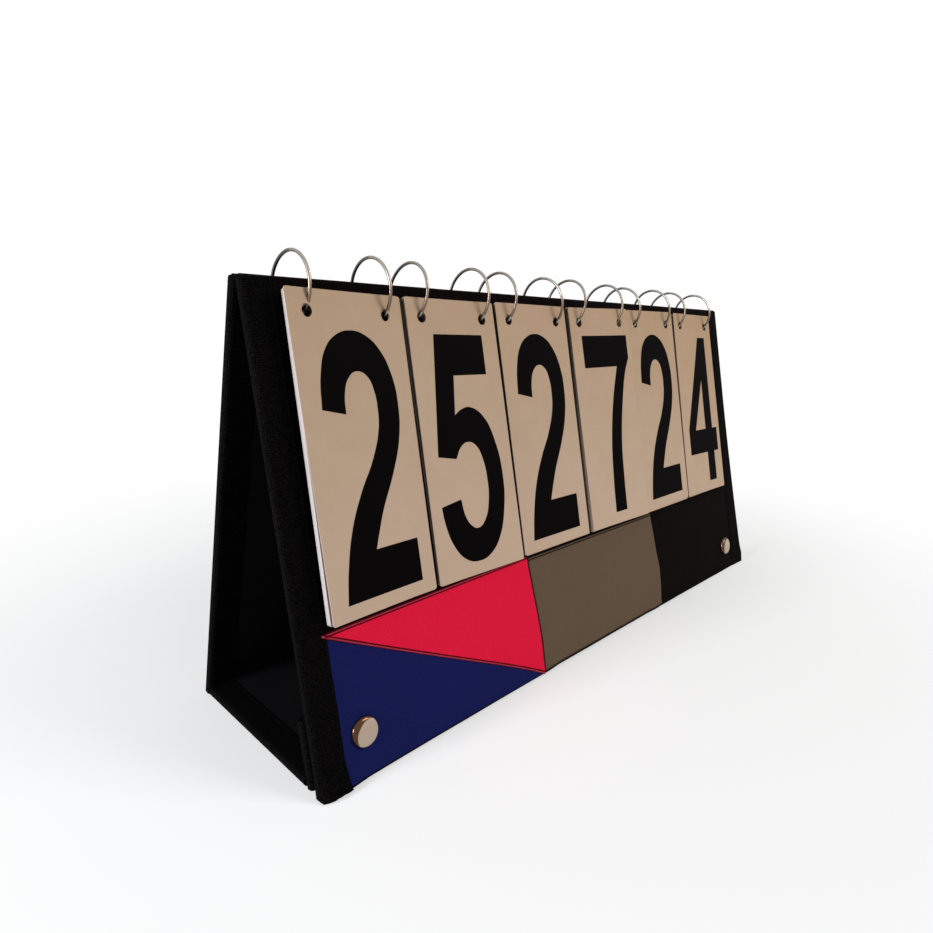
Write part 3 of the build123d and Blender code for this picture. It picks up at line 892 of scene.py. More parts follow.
# ---------------------------------------------------------------- cloth strips in the folds
def fold_strip(word, side, end_y, wall, wall_depth, wall_reach, body, fold_start, fold_end):
    """Cloth from the base's lining up the board beside it; fold_start and fold_end, two places in metres, are
    not used.
    """
    wall_y = (base_top - corner_height + wall_depth * run) / rise
    stand_off = 0.6
    line = rounded(
        [
            (end_y - side * fold_reach, base_top + stand_off, 0),
            (*side_view(wall, wall_y + 0.4, -wall_depth - stand_off), 1.6),
            (*side_view(wall, wall_y + wall_reach, -wall_depth - stand_off), 0),
        ],
        1.5,
    )
    strip_end = half_clear - 1
    sheet(
        cloth_band(line[::side], -strip_end, strip_end, 0.55, 5.0, Waves(30), 0.08),
        f"{word}_fold_cloth", lining_cloth, "black_cloth", (body, "base_panel", fold_start, fold_end),
        (f"{word}_fold_strip",), (0.425, travelled(line)[-1] * MM),
        ["base_panel_lining", f"{body}_lining"], "folded",
    )


fold_strip(
    "rear", 1, base_back, back, panel_thickness, fold_reach,
    "back_panel", (0, 0.0536, 0.009), (0, 0.0500, 0.0047),
)
fold_strip(
    "front", -1, base_front, front, flap_depth + panel_thickness, 9.9,
    "snap_flap", (0, -0.0459, 0.009), (0, -0.0423, 0.0047),
)


# ---------------------------------------------------------------- colour band
shaded_edge_width, rolled_edge = 0.35, 0.6
half_seam = 0.38
patch_foot, patch_head = 1.3, 73.9
red_foot, red_tip, red_left, red_right = 0.2, 70.7, 73.0, 75.4
tape_edge = half_clear + tape_thickness
over_edge = half_clear + 2.8
first_sway = ((0, 9, 21, 34, 47, 60, 67, 75), (2.2, 2.4, 2.8, 1.9, 0.7, -0.7, -1.5, -2.4))
second_sway = ((0, 11, 20, 30, 43, 56, 69, 75), (2.0, 3.3, 4.5, 4.8, 2.5, 1.0, -0.9, -1.5))


def sides_of(corners):
    """The sides of a polygon, each from one corner to the next."""
    return list(zip(corners, np.roll(corners, -1, axis=0)))


def inwards(corners, a, b):
    """Unit vector from a polygon's side, a to b, into the polygon."""
    inward = np.array((a[1] - b[1], b[0] - a[0])) / np.linalg.norm(b - a)
    return -inward if inward @ (np.mean(corners, axis=0) - a) < 0 else inward


def patch_shape(corners, sewn):
    """A filled polygon, cut along lines beside its sides and across, so that it can be shaped."""
    bm = bmesh.new()
    face = bm.faces.new([bm.verts.new((x, y, 0)) for x, y in corners])
    bm.normal_update()
    if face.normal.z < 0:
        face.normal_flip()
    low, high = np.min(corners, axis=0), np.max(corners, axis=0)
    lines = []
    for side, (a, b) in enumerate(sides_of(corners)):
        inward = inwards(corners, a, b)
        places = [0.12, shaded_edge_width, rolled_edge]
        if side in sewn:
            seam = sewn[side]
            places += [seam - half_seam, seam, seam + half_seam, seam + 0.9, 4.0]
        lines += [(a + inward * place, inward) for place in places]
    lines += [(np.array((-half_clear - place, 0)), np.array((1.0, 0))) for place in (0, tape_thickness)]
    for axis in (0, 1):
        direction = np.array((1.0 - axis, axis))
        lines += [(direction * place, direction) for place in np.arange(low[axis] + 5, high[axis] - 2, 6.0)]
    for place, direction in lines:
        split_along(bm, (*place, 0), (*direction, 0), 1e-4)
    return bm


def edge_distance(corners, x, y):
    """Distance of points from each side of a polygon, one column for each side."""
    sign = -1 if np.cross(corners[1] - corners[0], corners[2] - corners[1]) < 0 else 1
    found = []
    for a, b in sides_of(corners):
        along = (b - a) / np.linalg.norm(b - a)
        found.append(sign * (along[0] * (y - a[1]) - along[1] * (x - a[0])))
    return np.stack(found, -1)


def on_band(x, y, z):
    """A place on the band: its seams sway and its foot hangs a little."""
    first, second = np.interp(y, *first_sway), np.interp(y, *second_sway)
    before = np.clip((x + half_clear) / (first_seam + half_clear), 0, 1)
    between = np.clip((x - first_seam) / (second_seam - first_seam), 0, 1)
    after = np.clip((half_clear - x) / (half_clear - second_seam), 0, 1)
    swayed = x + np.where(x < first_seam, first * before, first + (second - first) * between)
    swayed = np.where(x > second_seam, x + second * after, swayed)
    down, out = foot_slack(swayed, y)
    return front.at(swayed, y - down, z + out)


def over_tape(x, y, z):
    """A place on the band, or on the tape where the band runs over it."""
    return on_band(x, y, z + 0.85 * np.clip((-half_clear - x) / tape_thickness, 0, 1))


def cloth_patch(colour, finish, slot, thickness, wave_size, seam_shade_and_hem=(), place=on_band):
    """A piece of the colour band, rolled at its edges and sunk along its seams, with painted shade in the
    seams and along its sewn edges.
    """
    corners, sewn = band_corners[colour], band_seams[colour]
    bm = patch_shape(corners, sewn)
    flat = np.array([v.co[:2] for v in bm.verts])
    x, y = flat[:, 0], flat[:, 1]
    away = edge_distance(corners, x, y)
    nearest = away.min(-1)
    height = np.sqrt(np.clip(1 - (1 - np.clip(nearest / rolled_edge, 0, 1)) ** 2, 0, 1))
    top = 0.06 + (thickness - 0.06) * height
    slow, pucker = Waves(34), Waves(7)
    top = top + wave_size * np.clip(slow(x, y), -0.6, 1) * np.clip(nearest / 5, 0, 1)
    for side, seam in sewn.items():
        gap = away[:, side]
        hem = 0.3 * np.clip((seam + 3.0 - gap) / 1.2, 0, 1) * np.clip(gap / 0.5, 0, 1)
        sunk = 0.5 * np.exp(-((gap - seam) / 0.4) ** 2)
        top = top + hem - sunk + 0.14 * pucker(x, y) * np.exp(-((gap - seam - 1.5) / 1.5) ** 2)
    top = np.where(nearest < 1e-4, 0.05, np.maximum(top, 0.08))
    mesh = raised(bm, place, 0.0, top)
    low, high = np.min(corners, axis=0), np.max(corners, axis=0)
    if any(low[0] < x < high[0] for x, y in snaps):
        mesh = pierced(mesh, snap_holes)
    x, y = np.array(corners).T * MM
    area = abs(x @ np.roll(y, -1) - y @ np.roll(x, -1)) / 2
    sheet(
        mesh, f"{colour}_band_cloth", finish, slot, "front_panel", (f"{colour}_patch",),
        tuple((high - low) * MM), ["outer_cloth"], crease=60, area=float(area),
    )
    for extra_finish in seam_shade_and_hem:
        mesh.materials.append(extra_finish)
    spots = mesh.uv_layers["weave"].data
    for face in mesh.polygons if seam_shade_and_hem else ():
        x, y = np.mean([spots[i].uv for i in face.loop_indices], axis=0) / MM
        gaps = edge_distance(corners, np.array([x]), np.array([y]))[0]
        inside = [(gaps[side], seam) for side, seam in sewn.items()]
        # Painted shade: the seam and a thin strip along each sewn edge get the darker cloth.
        if any(abs(gap - seam) < half_seam or gap < shaded_edge_width for gap, seam in inside):
            face.material_index = 1
        elif any(gap < seam for gap, seam in inside):
            face.material_index = len(seam_shade_and_hem)


def box_corners(left, right):
    """The corners of an upright patch between two places along the stand."""
    return [(left, patch_foot), (right, patch_foot), (right, patch_head), (left, patch_head)]


slope = (red_foot - red_tip) / (first_seam + tape_edge)
meeting = first_seam + (patch_foot - red_foot) / slope
band_corners = {
    "blue": [(-tape_edge, red_tip), (-tape_edge, patch_foot), (meeting, patch_foot)],
    "red": [
        (-over_edge, red_left), (-over_edge, red_tip - (over_edge - tape_edge) * slope),
        (first_seam, red_foot), (first_seam, red_right),
    ],
    "grey": box_corners(first_seam, second_seam),
    "black": box_corners(second_seam, tape_edge),
}
band_corners = {colour: np.array(corners, float) for colour, corners in band_corners.items()}
# How far inside each sewn side, counted from the first corner, its seam runs.
band_seams = {
    "blue": {}, "red": {1: 1.4, 3: 1.4}, "grey": {0: 0.75, 2: 1.5, 3: 0.75}, "black": {0: 2.0, 2: 2.0},
}
cloth_patch("blue", blue_cloth, "blue_cloth", 0.5, 0.1)
cloth_patch("red", red_cloth, "red_cloth", 0.75, 0.2, (red_seam_shade, red_hem_cloth), over_tape)
cloth_patch("grey", grey_cloth, "grey_cloth", 0.5, 0.3, (grey_seam_shade, grey_hem_cloth))
cloth_patch("black", black_cloth, "black_cloth", 0.5, 0.1)


# ---------------------------------------------------------------- repeated pieces
class Repeater(Tree):
    """A tree for a Geometry Nodes modifier that sets one thing on many points and gives it a finish."""

    def __init__(self, name, **inputs):
        self.group = bpy.data.node_groups.new(name, "GeometryNodeTree")
        super().__init__(self.group)
        socket = self.group.interface.new_socket
        socket("Geometry", in_out="INPUT", socket_type="NodeSocketGeometry")
        socket("Geometry", in_out="OUTPUT", socket_type="NodeSocketGeometry")
        for word, kind in {**inputs, "Out": "Vector", "Finish": "Material"}.items():
            socket(word, in_out="INPUT", socket_type=f"NodeSocket{kind}")
        given = self.node("NodeGroupInput").outputs
        self.given = {found.name: Level(self, found) for found in given if found.name}

    def facing(self, settings, vector, **sockets):
        """The turn that points one axis along a vector."""
        return self.value("FunctionNodeAlignRotationToVector", settings, {"Vector": vector, **sockets})

    def repeat(self, **sockets):
        """The whole tree, once its points, what is set on them and its turn are known."""
        placed = self.value("GeometryNodeInstanceOnPoints", None, sockets)
        real = self.value("GeometryNodeRealizeInstances", None, {"Geometry": placed})
        finish = {"Geometry": real, "Material": self.given["Finish"]}
        self.node("NodeGroupOutput", None, {"Geometry": self.value("GeometryNodeSetMaterial", None, finish)})
        return self.group


def build_stitch_tree():
    """Rows of stitches along curves: each stitch is a short arched thread, turned to the row."""
    tree = Repeater("rows_of_stitches", Pitch="Float", Length="Float", Thread="Float")
    row = {"Curve": tree.given["Geometry"], "Length": tree.given["Pitch"]}
    spots = tree.node("GeometryNodeCurveToPoints", {"mode": "LENGTH"}, row)
    half, thread = tree.given["Length"] * 0.5, tree.given["Thread"]
    dip, arch = thread * -0.55, thread * 1.3
    places = {"Start": {"X": half * -1.0, "Z": dip}, "Middle": {"Z": arch}, "End": {"X": half, "Z": dip}}
    bend = {word: tree.value("ShaderNodeCombineXYZ", None, place) for word, place in places.items()}
    arc = tree.value("GeometryNodeCurveQuadraticBezier", None, {"Resolution": 4, **bend})
    round_section = {"Resolution": 6, "Radius": thread * 0.5}
    ring = tree.value("GeometryNodeCurvePrimitiveCircle", {"mode": "RADIUS"}, round_section)
    swept_arc = {"Curve": arc, "Profile Curve": ring, "Fill Caps": True}
    one = tree.value("GeometryNodeCurveToMesh", None, swept_arc)
    along = tree.facing({"axis": "X"}, Level(tree, spots.outputs["Tangent"]))
    turned = tree.facing({"axis": "Z", "pivot_axis": "X"}, tree.given["Out"], Rotation=along)
    uneven = {"Min": (0.88, 0.85, 0.8), "Max": (1.06, 1.15, 1.2), "Seed": 5}
    size = tree.value("FunctionNodeRandomValue", {"data_type": "FLOAT_VECTOR"}, uneven)
    return tree.repeat(Points=Level(tree, spots.outputs["Points"]), Instance=one, Rotation=turned, Scale=size)


def build_fitting_tree():
    """One fitting set on each point of a mesh, all facing one way."""
    tree = Repeater("fittings_on_points", Fitting="Object")
    fitting = {"Object": tree.given["Fitting"]}
    one = tree.value("GeometryNodeObjectInfo", {"transform_space": "ORIGINAL"}, fitting, "Geometry")
    turned = tree.facing({"axis": "Z"}, tree.given["Out"])
    return tree.repeat(Points=tree.given["Geometry"], Instance=one, Rotation=turned)


def from_tree(source, group, **inputs):
    """The plain mesh that a tree makes from a curve or mesh, with its named inputs set."""
    holder = linked("holder", source)
    way = holder.modifiers.new("repeat", "NODES")
    way.node_group = group
    for item in group.interface.items_tree:
        if getattr(item, "in_out", "") == "INPUT" and item.name in inputs:
            way[item.identifier] = inputs[item.name]
    holder.update_tag()
    mesh = evaluated_mesh(holder)
    bpy.data.objects.remove(holder)
    return mesh


stitch_tree = build_stitch_tree()
fitting_tree = build_fitting_tree()


def stitched(part, rows, face, finish, slot, body, pitch=3.0, length=2.3, thick=0.45, place=None):
    """Rows of stitches on a face: each row is a list of (x, y, z) on it, or on what place gives."""
    name = f"{part}_stitches"
    curve = bpy.data.curves.new(name, "CURVE")
    curve.dimensions = "3D"
    for row in rows:
        spline = curve.splines.new("POLY")
        spline.points.add(len(row) - 1)
        for point, spot in zip(spline.points, row):
            point.co = (*((place or face.at)(*spot) * MM), 1)
    mesh = from_tree(
        curve, stitch_tree, Pitch=pitch * MM, Length=length * MM, Thread=thick * MM,
        Out=tuple(face.out), Finish=finish,
    )
    finished(mesh, name, None, body)


def seam_rows(colour, z, margins):
    """Rows of places along a patch's seams, each with its margins from the side's two ends."""
    corners, rows = band_corners[colour], []
    for (side, inside), (start, stop) in zip(band_seams[colour].items(), margins):
        a, b = sides_of(corners)[side]
        size = np.linalg.norm(b - a)
        ways = np.linspace(start / size, 1 - stop / size, 26)
        rows.append([(*(a + (b - a) * way + inwards(corners, a, b) * inside), z) for way in ways])
    return rows


def tape_rows(low, high, z):
    """A row just inside the inner edge of the tape at each end, on the tape's face over z."""
    inside, above = 1.7, 0.82
    return [[(side * (half_clear + inside), y, z + above) for y in (low, high)] for side in (-1, 1)]


band_stitches = (
    ("red", 0.36, ((3.0, 2.0), (1.0, 4.0)), red_thread, (2.5, 2.45, 0.7), over_tape),
    ("grey", 0.24, ((1.0, 1.0),) * 3, grey_thread, (2.6, 2.4, 0.6), on_band),
    ("black", 0.4, ((2.0, 4.0),) * 2, black_thread, (), on_band),
)
for colour, z, margins, finish, sizes, place in band_stitches:
    rows = seam_rows(colour, z, margins)
    stitched(f"{colour}_band", rows, front, finish, f"{colour}_cloth", "front_panel", *sizes, place=place)
for part, face, low, high, z in (
    ("front", front, 15, panel_height - 3, 0.0),
    ("back", back, 3, panel_height - 3, 0.0),
    ("base", base, base_front + 3, base_back - 3, base_top),
):
    stitched(f"{part}_black", tape_rows(low, high, z), face, black_thread, "edge_tape", f"{part}_panel")


# ---------------------------------------------------------------- snaps and eyelets
def lathe(profile, segments=40):
    """Closed turned shape from a closed profile of (radius, height), in millimetres."""
    profile = np.array(profile, float)
    rings = []
    for i in range(segments):
        angle = 2 * pi * i / segments
        rings.append(np.column_stack((profile[:, 0] * cos(angle), profile[:, 0] * sin(angle), profile[:, 1])))
    across = travelled(np.concatenate((profile, profile[:1])))
    return swept(np.array(rings), across, np.linspace(0, lathe_map, segments + 1), closed=True)


def placed(mesh, face, x, y, z):
    """A turned shape stood on a face."""
    turn = Matrix((face.along, face.up, face.out)).transposed().to_4x4()
    mesh.transform(Matrix.Translation(Vector(face.at(x, y, z)) * MM) @ turn)
    return mesh


# A cap's face is slightly domed and its rim is a quarter of an ellipse; its post goes down through the cloth.
face_radius, face_height, face_dome = 5.4, 2.5, 0.28
rim_middle, rim_low, rim_reach, rim_rise = 5.45, 0.35, 2.1, 1.85
post_foot = -5.0
face_curve = [(face_radius * a, face_height - face_dome * a ** 2) for a in (0.004, 0.25, 0.5, 0.75, 0.92)]
rim_curve = [
    (rim_middle + rim_reach * sin(a), rim_low + rim_rise * cos(a)) for a in np.linspace(0.12, pi / 2, 12)
]
under_rim = [(7.45, 0.12), (7.1, 0.02)]
post = [(snap_barrel, 0.02), (snap_barrel, post_foot), (0.02, post_foot)]
cap_profile = face_curve + rim_curve + under_rim + post
caps = joined([placed(lathe(cap_profile, 56), front, x, y, 0.5) for x, y in snaps])
finished(caps, "domed_snap_caps", nickel, "front_panel", ("snap_caps",), 50)


def eyelet_profile(clear, flange):
    """Rolled flange outside, barrel through the board and a rolled lip behind."""
    wall, lip, back_reach = 0.5, flange / 2, -panel_thickness - 0.4
    outer = clear + wall
    flare = [(clear + flange * (1 - cos(a)) * 0.5, 0.45 * sin(a)) for a in np.linspace(0.15, pi - 0.1, 11)]
    roll = [
        (outer + lip * (1 - cos(a)) * 0.5, back_reach - 0.42 * sin(a)) for a in np.linspace(pi - 0.1, 0.2, 8)
    ]
    barrel = [(clear + flange, 0.02), (outer, 0.02), (outer, back_reach)]
    return flare + barrel + roll + [(clear, back_reach - 0.1), (clear, -0.1)]


def eyelets(side, face, clear, flange, places):
    """One side's eyelets for the rings."""
    one = linked("one_eyelet", lathe(eyelet_profile(clear, flange), 28))
    spots = bpy.data.meshes.new("spots")
    spots.from_pydata([tuple(face.at(*place) * MM) for place in places], [], [])
    made = from_tree(spots, fitting_tree, Fitting=one, Out=tuple(face.out), Finish=dark_fitting)
    bpy.data.objects.remove(one)
    finished(made, f"{side}_rolled_eyelets", None, f"{side}_panel", (f"{side}_eyelets",), 60)


eyelets("front", front, 3.0, 2.0, front_rings)
eyelets("back", back, 4.6, 2.6, back_rings)


# ---------------------------------------------------------------- book rings
class RingPlace:
    """Places on one ring: u towards the front, v up and w along the ridge, all from its middle.

    The ring leans and turns about the place where it goes through its front eyelet.
    """

    def __init__(self, x, slide, lift, lean, swivel):
        lean, swivel = radians(lean), radians(swivel)
        across = np.array((cos(swivel) * cos(lean), sin(swivel) * cos(lean), -sin(lean)))
        forward = np.array((sin(swivel), -cos(swivel), 0.0))
        self.axes = np.stack((forward, np.cross(forward, across), across))
        in_eyelet = np.array((12.25, -10.45, 0))
        pivot = np.array((x + slide, -in_eyelet[0], ring_height + in_eyelet[1] + lift))
        self.middle = pivot - in_eyelet @ self.axes

    def __call__(self, u, v, w):
        return self.middle + np.stack((u, v, w), -1) @ self.axes


def on_ring(angle, radius=ring_radius):
    """A place on the ring at an angle from its top towards the front."""
    return radius * sin(radians(angle)), radius * cos(radians(angle))


def arc(x, y, radius, start, end, parts):
    """Points for flat_shape on part of a circle."""
    angles = np.linspace(start, end, parts + 1)
    return [(x + radius * cos(a), y + radius * sin(a), True) for a in angles]


turn = np.linspace(0, 2 * pi, 13)
around = turn[:-1]
hinge_gap = degrees(1.45 / ring_radius)
clasp_gap = degrees(0.07 / ring_radius)
front_end, rear_end = ring_knuckle - hinge_gap, ring_knuckle - 360 + hinge_gap
ear_inner, ear_outer, half_tongue = 0.45, 1.15, 0.4


def ring_wire_half(place, start, end):
    """Round wire bent along the ring from one angle to another, with slightly rounded ends."""
    ease, end_size = degrees(0.25 / ring_radius), 0.72
    angles = np.linspace(start, end, 44)
    way = 1 if end > start else -1
    full = [(angle, 1.0) for angle in (start + way * ease, *angles[1:-1], end - way * ease)]
    stops = [(start, end_size), *full, (end, end_size)]
    rings = []
    for angle, size in stops:
        out = ring_radius + ring_wire * size * np.cos(around)
        rings.append(place(*on_ring(angle, out), ring_wire * size * np.sin(around)))
    return swept(np.array(rings), turn, [radians(angle) * ring_radius for angle, size in stops])


def ring_lug(place, wire_end, low, high):
    """Flat ear or tongue from the wire's end to the hinge pin."""
    knuckle, pin_hole, half_width, overlap = 1.3, 0.53, 0.85, 0.6
    hinge, tip = np.array(on_ring(ring_knuckle)), np.array(on_ring(wire_end))
    reach = tip - hinge
    size = np.linalg.norm(reach) + overlap
    along = reach / np.linalg.norm(reach)
    corner = asin(half_width / knuckle)
    eye = arc(0, 0, knuckle, corner, 2 * pi - corner, 14)
    outline = [(size, half_width, True), *eye, (size, -half_width, True)]

    def spot(x, y, w):
        return place(hinge[0] + along[0] * x - along[1] * y, hinge[1] + along[1] * x + along[0] * y, w)

    return raised(flat_shape([outline, arc(0, 0, pin_hole, 0, 2 * pi, 12)[:-1]]), spot, low, high)


def hinge_pin(place):
    """Pin through a ring's knuckle, with slightly domed ends."""
    u, v = on_ring(ring_knuckle)
    pin, tip, pin_end, tip_end = 0.5, 0.3, 1.18, 1.25
    rings = [
        place(u + size * np.cos(around), v + size * np.sin(around), np.full(len(around), w))
        for w, size in ((-tip_end, tip), (-pin_end, pin), (pin_end, pin), (tip_end, tip))
    ]
    return swept(np.array(rings), turn, (0, 1, 2, 3))


# How each ring has slid along the ridge and up, leaned to the right and turned about the upright.
ring_sways = [
    (0.5, 0.2, 2.6, 1.0), (0.3, 0.7, -1.1, 0.1), (-1.6, 0.6, 7.2, -2.0), (-0.5, 0.6, 3.6, -1.0),
    (-1.4, 0.3, 5.7, -1.0), (-0.4, -0.1, -3.9, 1.0), (-1.8, 0.6, 8.3, -2.0), (-1.1, -0.1, 5.0, -1.0),
    (0.1, -0.9, 0.7, 1.0), (0.2, -0.2, -4.3, -1.0), (-0.2, -0.7, 4.4, -1.0), (0.5, -0.6, -1.7, 0.5),
]
for number in range(1, 7):
    wires, pins = [], []
    for x, sways in list(zip(ring_x, ring_sways))[number * 2 - 2:number * 2]:
        place = RingPlace(x, *sways)
        wires += [
            ring_wire_half(place, ring_clasp + clasp_gap, front_end),
            ring_wire_half(place, ring_clasp - clasp_gap, rear_end),
            ring_lug(place, front_end, -ear_outer, -ear_inner),
            ring_lug(place, front_end, ear_inner, ear_outer),
            ring_lug(place, rear_end, -half_tongue, half_tongue),
        ]
        pins.append(hinge_pin(place))
    for meshes, name, finish, node in (
        (wires, "wire_rings", wire_nickel, "book_rings"), (pins, "hinge_pins", fitting_nickel, "ring_pins")
    ):
        body = f"ring_pair_{number}"
        finished(joined(meshes), f"{name}_{number}", finish, body, (f"{node}_{number}",))


# ---------------------------------------------------------------- cards and their numbers
digit_outlines = {
    2: [
        "^9.7,7 12.6,23 18.6,42 26.9,57.5 36.3,71.5 42.4,85.5 43.6,95 43,103.5 39.8,110.8 34,113.3 28.6,110.5"
        " 25,103 ^24.1,93.6 ^10.9,96.4 12.9,112 17.8,124.2 25,130.3 33.6,132.3 41.5,130.5 49.5,124 55.6,111"
        " 57.2,96 54.9,80 48,63.5 38.5,46.8 34.4,37.8 ^30.7,28.9 ^57.7,28.9 ^57.7,7"
    ],
    3: [
        "^10.5,98.5 14.5,117 22,128.5 33,132.3 45,128.5 53,117.5 55.2,103 53,89.5 47.5,80 ^44.5,76.5 52.3,69"
        " 57,57.5 57.6,43.5 54,25.5 46,12 33.5,7 21,11 12.3,24 ^9.4,43.5 ^22.6,46 24.4,34.5 28.3,27 33.6,25"
        " 39.5,28.5 43.2,36.5 44,46 42.6,56 38.5,63.5 33,66 ^28.8,65.4 ^27.4,82.5 29.6,82 36.2,84.5 40.5,91.5"
        " 41.6,99.5 40,107.5 36.5,112.5 32.6,113.8 27.5,110.5 24.2,103.5 ^22.8,95"
    ],
    4: [
        "^40.5,131 ^53.4,131 ^53.4,53 ^61.3,53 ^61.3,33 ^53.4,33 ^53.4,8 ^40.7,8 ^40.7,33 ^10.5,33 ^10.5,54.5",
        "^40.7,53 ^40.7,95 ^22.6,53",
    ],
    5: [
        "^17,131.6 ^54.2,131.6 ^54.2,109.6 ^28.2,109.6 ^25.6,88.4 31,91.2 37.5,92 47.5,86 54.5,71.5 57.4,52"
        " 55.3,33 48.2,16.2 40,9 31.8,7 21.5,9.6 13.2,19 8.9,31.5 ^7.7,40.7 ^22.3,42.8 24.2,33 28,27.3 33,25.2"
        " 39.2,29.2 43.2,38.5 44.4,50.5 42.8,62.5 38.8,70.5 33,73.1 27.2,71 ^22.6,64.8 ^9.6,67.2"
    ],
    6: [
        "^56,100.5 52.5,118.5 45,129 34.5,132.3 24,129 15.5,117.5 10.6,96 9.2,68 10.6,42 15.5,21 24,10 34,7"
        " 45.5,11.5 54,26 57.6,47.5 55,68 48.6,81.5 38,86.5 29,83.5 ^22.8,76 23.4,95 26.6,108.5 30.8,113"
        " 34.6,113.8 39,111 42,104.5 ^43,96.5",
        "33.6,25 28.2,29 24.6,37.5 23.4,47.5 25,58 28.8,65 34,67.5 39.4,64.5 43,57 44.2,46 43,35.5 39.2,28",
    ],
    7: [
        "^11.3,131.5 ^62.4,131.5 ^62.4,115.2 57.3,106.5 50.3,86 44,58 41.6,29 ^41,8 ^28,8 29.2,31 32.4,59"
        " 39.2,87 ^47.6,109.8 ^11.3,109.8"
    ],
    8: [
        "33.5,132.3 45,128.8 53,118 55.3,103.5 52.8,89 46,78.5 53.6,68.5 57.6,54 57.4,40 53,21.5 44.5,10.5"
        " 33.5,7 22.5,10.5 14,21.5 9.6,40 9.5,54 13.4,68.5 21,78.5 14.2,89 11.7,103.5 14,118 22,128.8",
        "33.5,25 27.4,29 23.8,38 23.4,47 25.2,57.5 29,64 33.5,66.2 38,64 41.8,57.5 43.6,47 43.2,38 39.6,29",
        "33.5,84 28.8,87.5 25.9,94.5 25.5,101 26.8,108.5 29.8,113.5 33.5,115 37.2,113.5 40.2,108.5 41.5,101"
        " 41.1,94.5 38.2,87.5",
    ],
}
shown_digits = (2, 5, 2, 7, 2, 4)
next_digits = (3, 6, 3, 8, 3, 5)


def card_outline():
    """A card's outline and its two holes, from its lower left corner."""
    r = card_corner
    right, top = card_width - r, card_height - r
    corners = ((right, r, -pi / 2, 0), (right, top, 0, pi / 2), (r, top, pi / 2, pi), (r, r, pi, 3 * pi / 2))
    edge = [point for x, y, start, end in corners for point in arc(x, y, r, start, end, 5)]
    holes = [
        arc(x, card_height - card_hole_drop, card_hole_radius, 0, 2 * pi, 22)[:-1]
        for x in (card_hole_inset, card_width - card_hole_inset)
    ]
    return [edge, *holes]


class CardPlace:
    """Where one card hangs: slid from its CAD place, turned about its holes, and lifted off the stack."""

    def __init__(self, x, slide, turn, lifts, bow=0.0):
        self.left, self.low = x - card_width / 2 + slide[0], card_low + slide[1]
        self.turn, self.lifts, self.bow = turn, lifts, bow

    def lift(self, x, y):
        """Lift of the card's surface from its four corners' lifts and a bow down its middle."""
        across, up = x / card_width, y / card_height
        top_left, top_right, low_left, low_right = self.lifts
        high = top_left * (1 - across) ** 1.3 + top_right * across ** 1.6
        low = low_left * (1 - across) ** 1.3 + low_right * across ** 1.6
        return high * up + low * (1 - up) + self.bow * 4 * across * (1 - across) * (1 - up) ** 0.7

    def __call__(self, x, y, z):
        hang = card_height - card_hole_drop
        spun_x = x + (hang - y) * sin(self.turn)
        spun_y = y + (x - card_width / 2) * sin(self.turn)
        return front.at(self.left + spun_x, self.low + spun_y, z + self.lift(x, y))


def one_card(shape, place, low, core):
    """A card with its cut edge in the core's finish, and the walls of its two holes darkened as painted shade.
    """
    leaf = raised(shape, place, low, low + card_thickness)
    for finish in (card_white, core, shaded_core):
        leaf.materials.append(finish)
    spots = leaf.uv_layers["weave"].data
    for face in leaf.polygons:
        if abs(Vector(front.out).dot(face.normal)) < 0.6:
            x, y = spots[face.loop_start].uv / MM
            in_hole = 3 < x < card_width - 3 and 3 < card_height - y < 15
            face.material_index = 2 if in_hole else 1
    return leaf


def printed(digit, place, face_z, cuts):
    """A digit's ink on a card's face."""
    outlines = [points_of(text) for text in digit_outlines[digit]]
    return raised(flat_shape(outlines, *cuts), place, face_z - 0.02, face_z + 0.045)


cuts = (np.arange(3.5, card_width, 3.5), np.arange(6.0, card_height, 6.0))
# How each front card hangs; the lifts off the stack are those of its top and low corners, left then right.
front_places = [
    dict(slide=(-1.3, 0.7), turn=-0.0022, lifts=(5.2, 0.0, 5.0, 0.3), bow=0.17),
    dict(slide=(-1.5, 0.3), turn=-0.0065, lifts=(1.1, 0.0, 0.1, 1.5), bow=0.16),
    dict(slide=(-2.3, 0.7), turn=-0.004, lifts=(0.0, 0.0, 0.1, 0.1), bow=0.0),
    dict(slide=(-1.2, 0.7), turn=0.006, lifts=(0.3, 3.6, 0.1, 4.2), bow=0.25),
    dict(slide=(0.6, 1.3), turn=0.004, lifts=(0.6, 1.1, 0.1, 0.1), bow=0.0),
    dict(slide=(0.2, 0.7), turn=-0.0095, lifts=(1.3, 0.0, 0.1, 0.9), bow=0.0),
]
stack_turns = (-0.0105, 0.0, 0.002, -0.002, 0.0015, 0.0)
stack_slides = (0.2, -0.8, -1.0, -1.0, 0.2, 0.3)
for number, (x, digit, hanging) in enumerate(zip(stacks, shown_digits, front_places), start=1):
    place = CardPlace(x, **hanging)
    body = f"flip_card_{number}"
    leaf = one_card(flat_shape(card_outline(), *cuts), place, front_card_back, card_core)
    card = finished(leaf, f"number_card_{number}", None, body, (f"front_card_{number}",), 30)
    ink = printed(digit, place, front_card_back + card_thickness, cuts)
    figure = finished(ink, f"number_{number}", number_ink, body, (), 30)
    anchor = front.at(x, card_low + 50, front_card_back)
    for made in (card, figure):
        tuple(front.out)
        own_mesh(made)
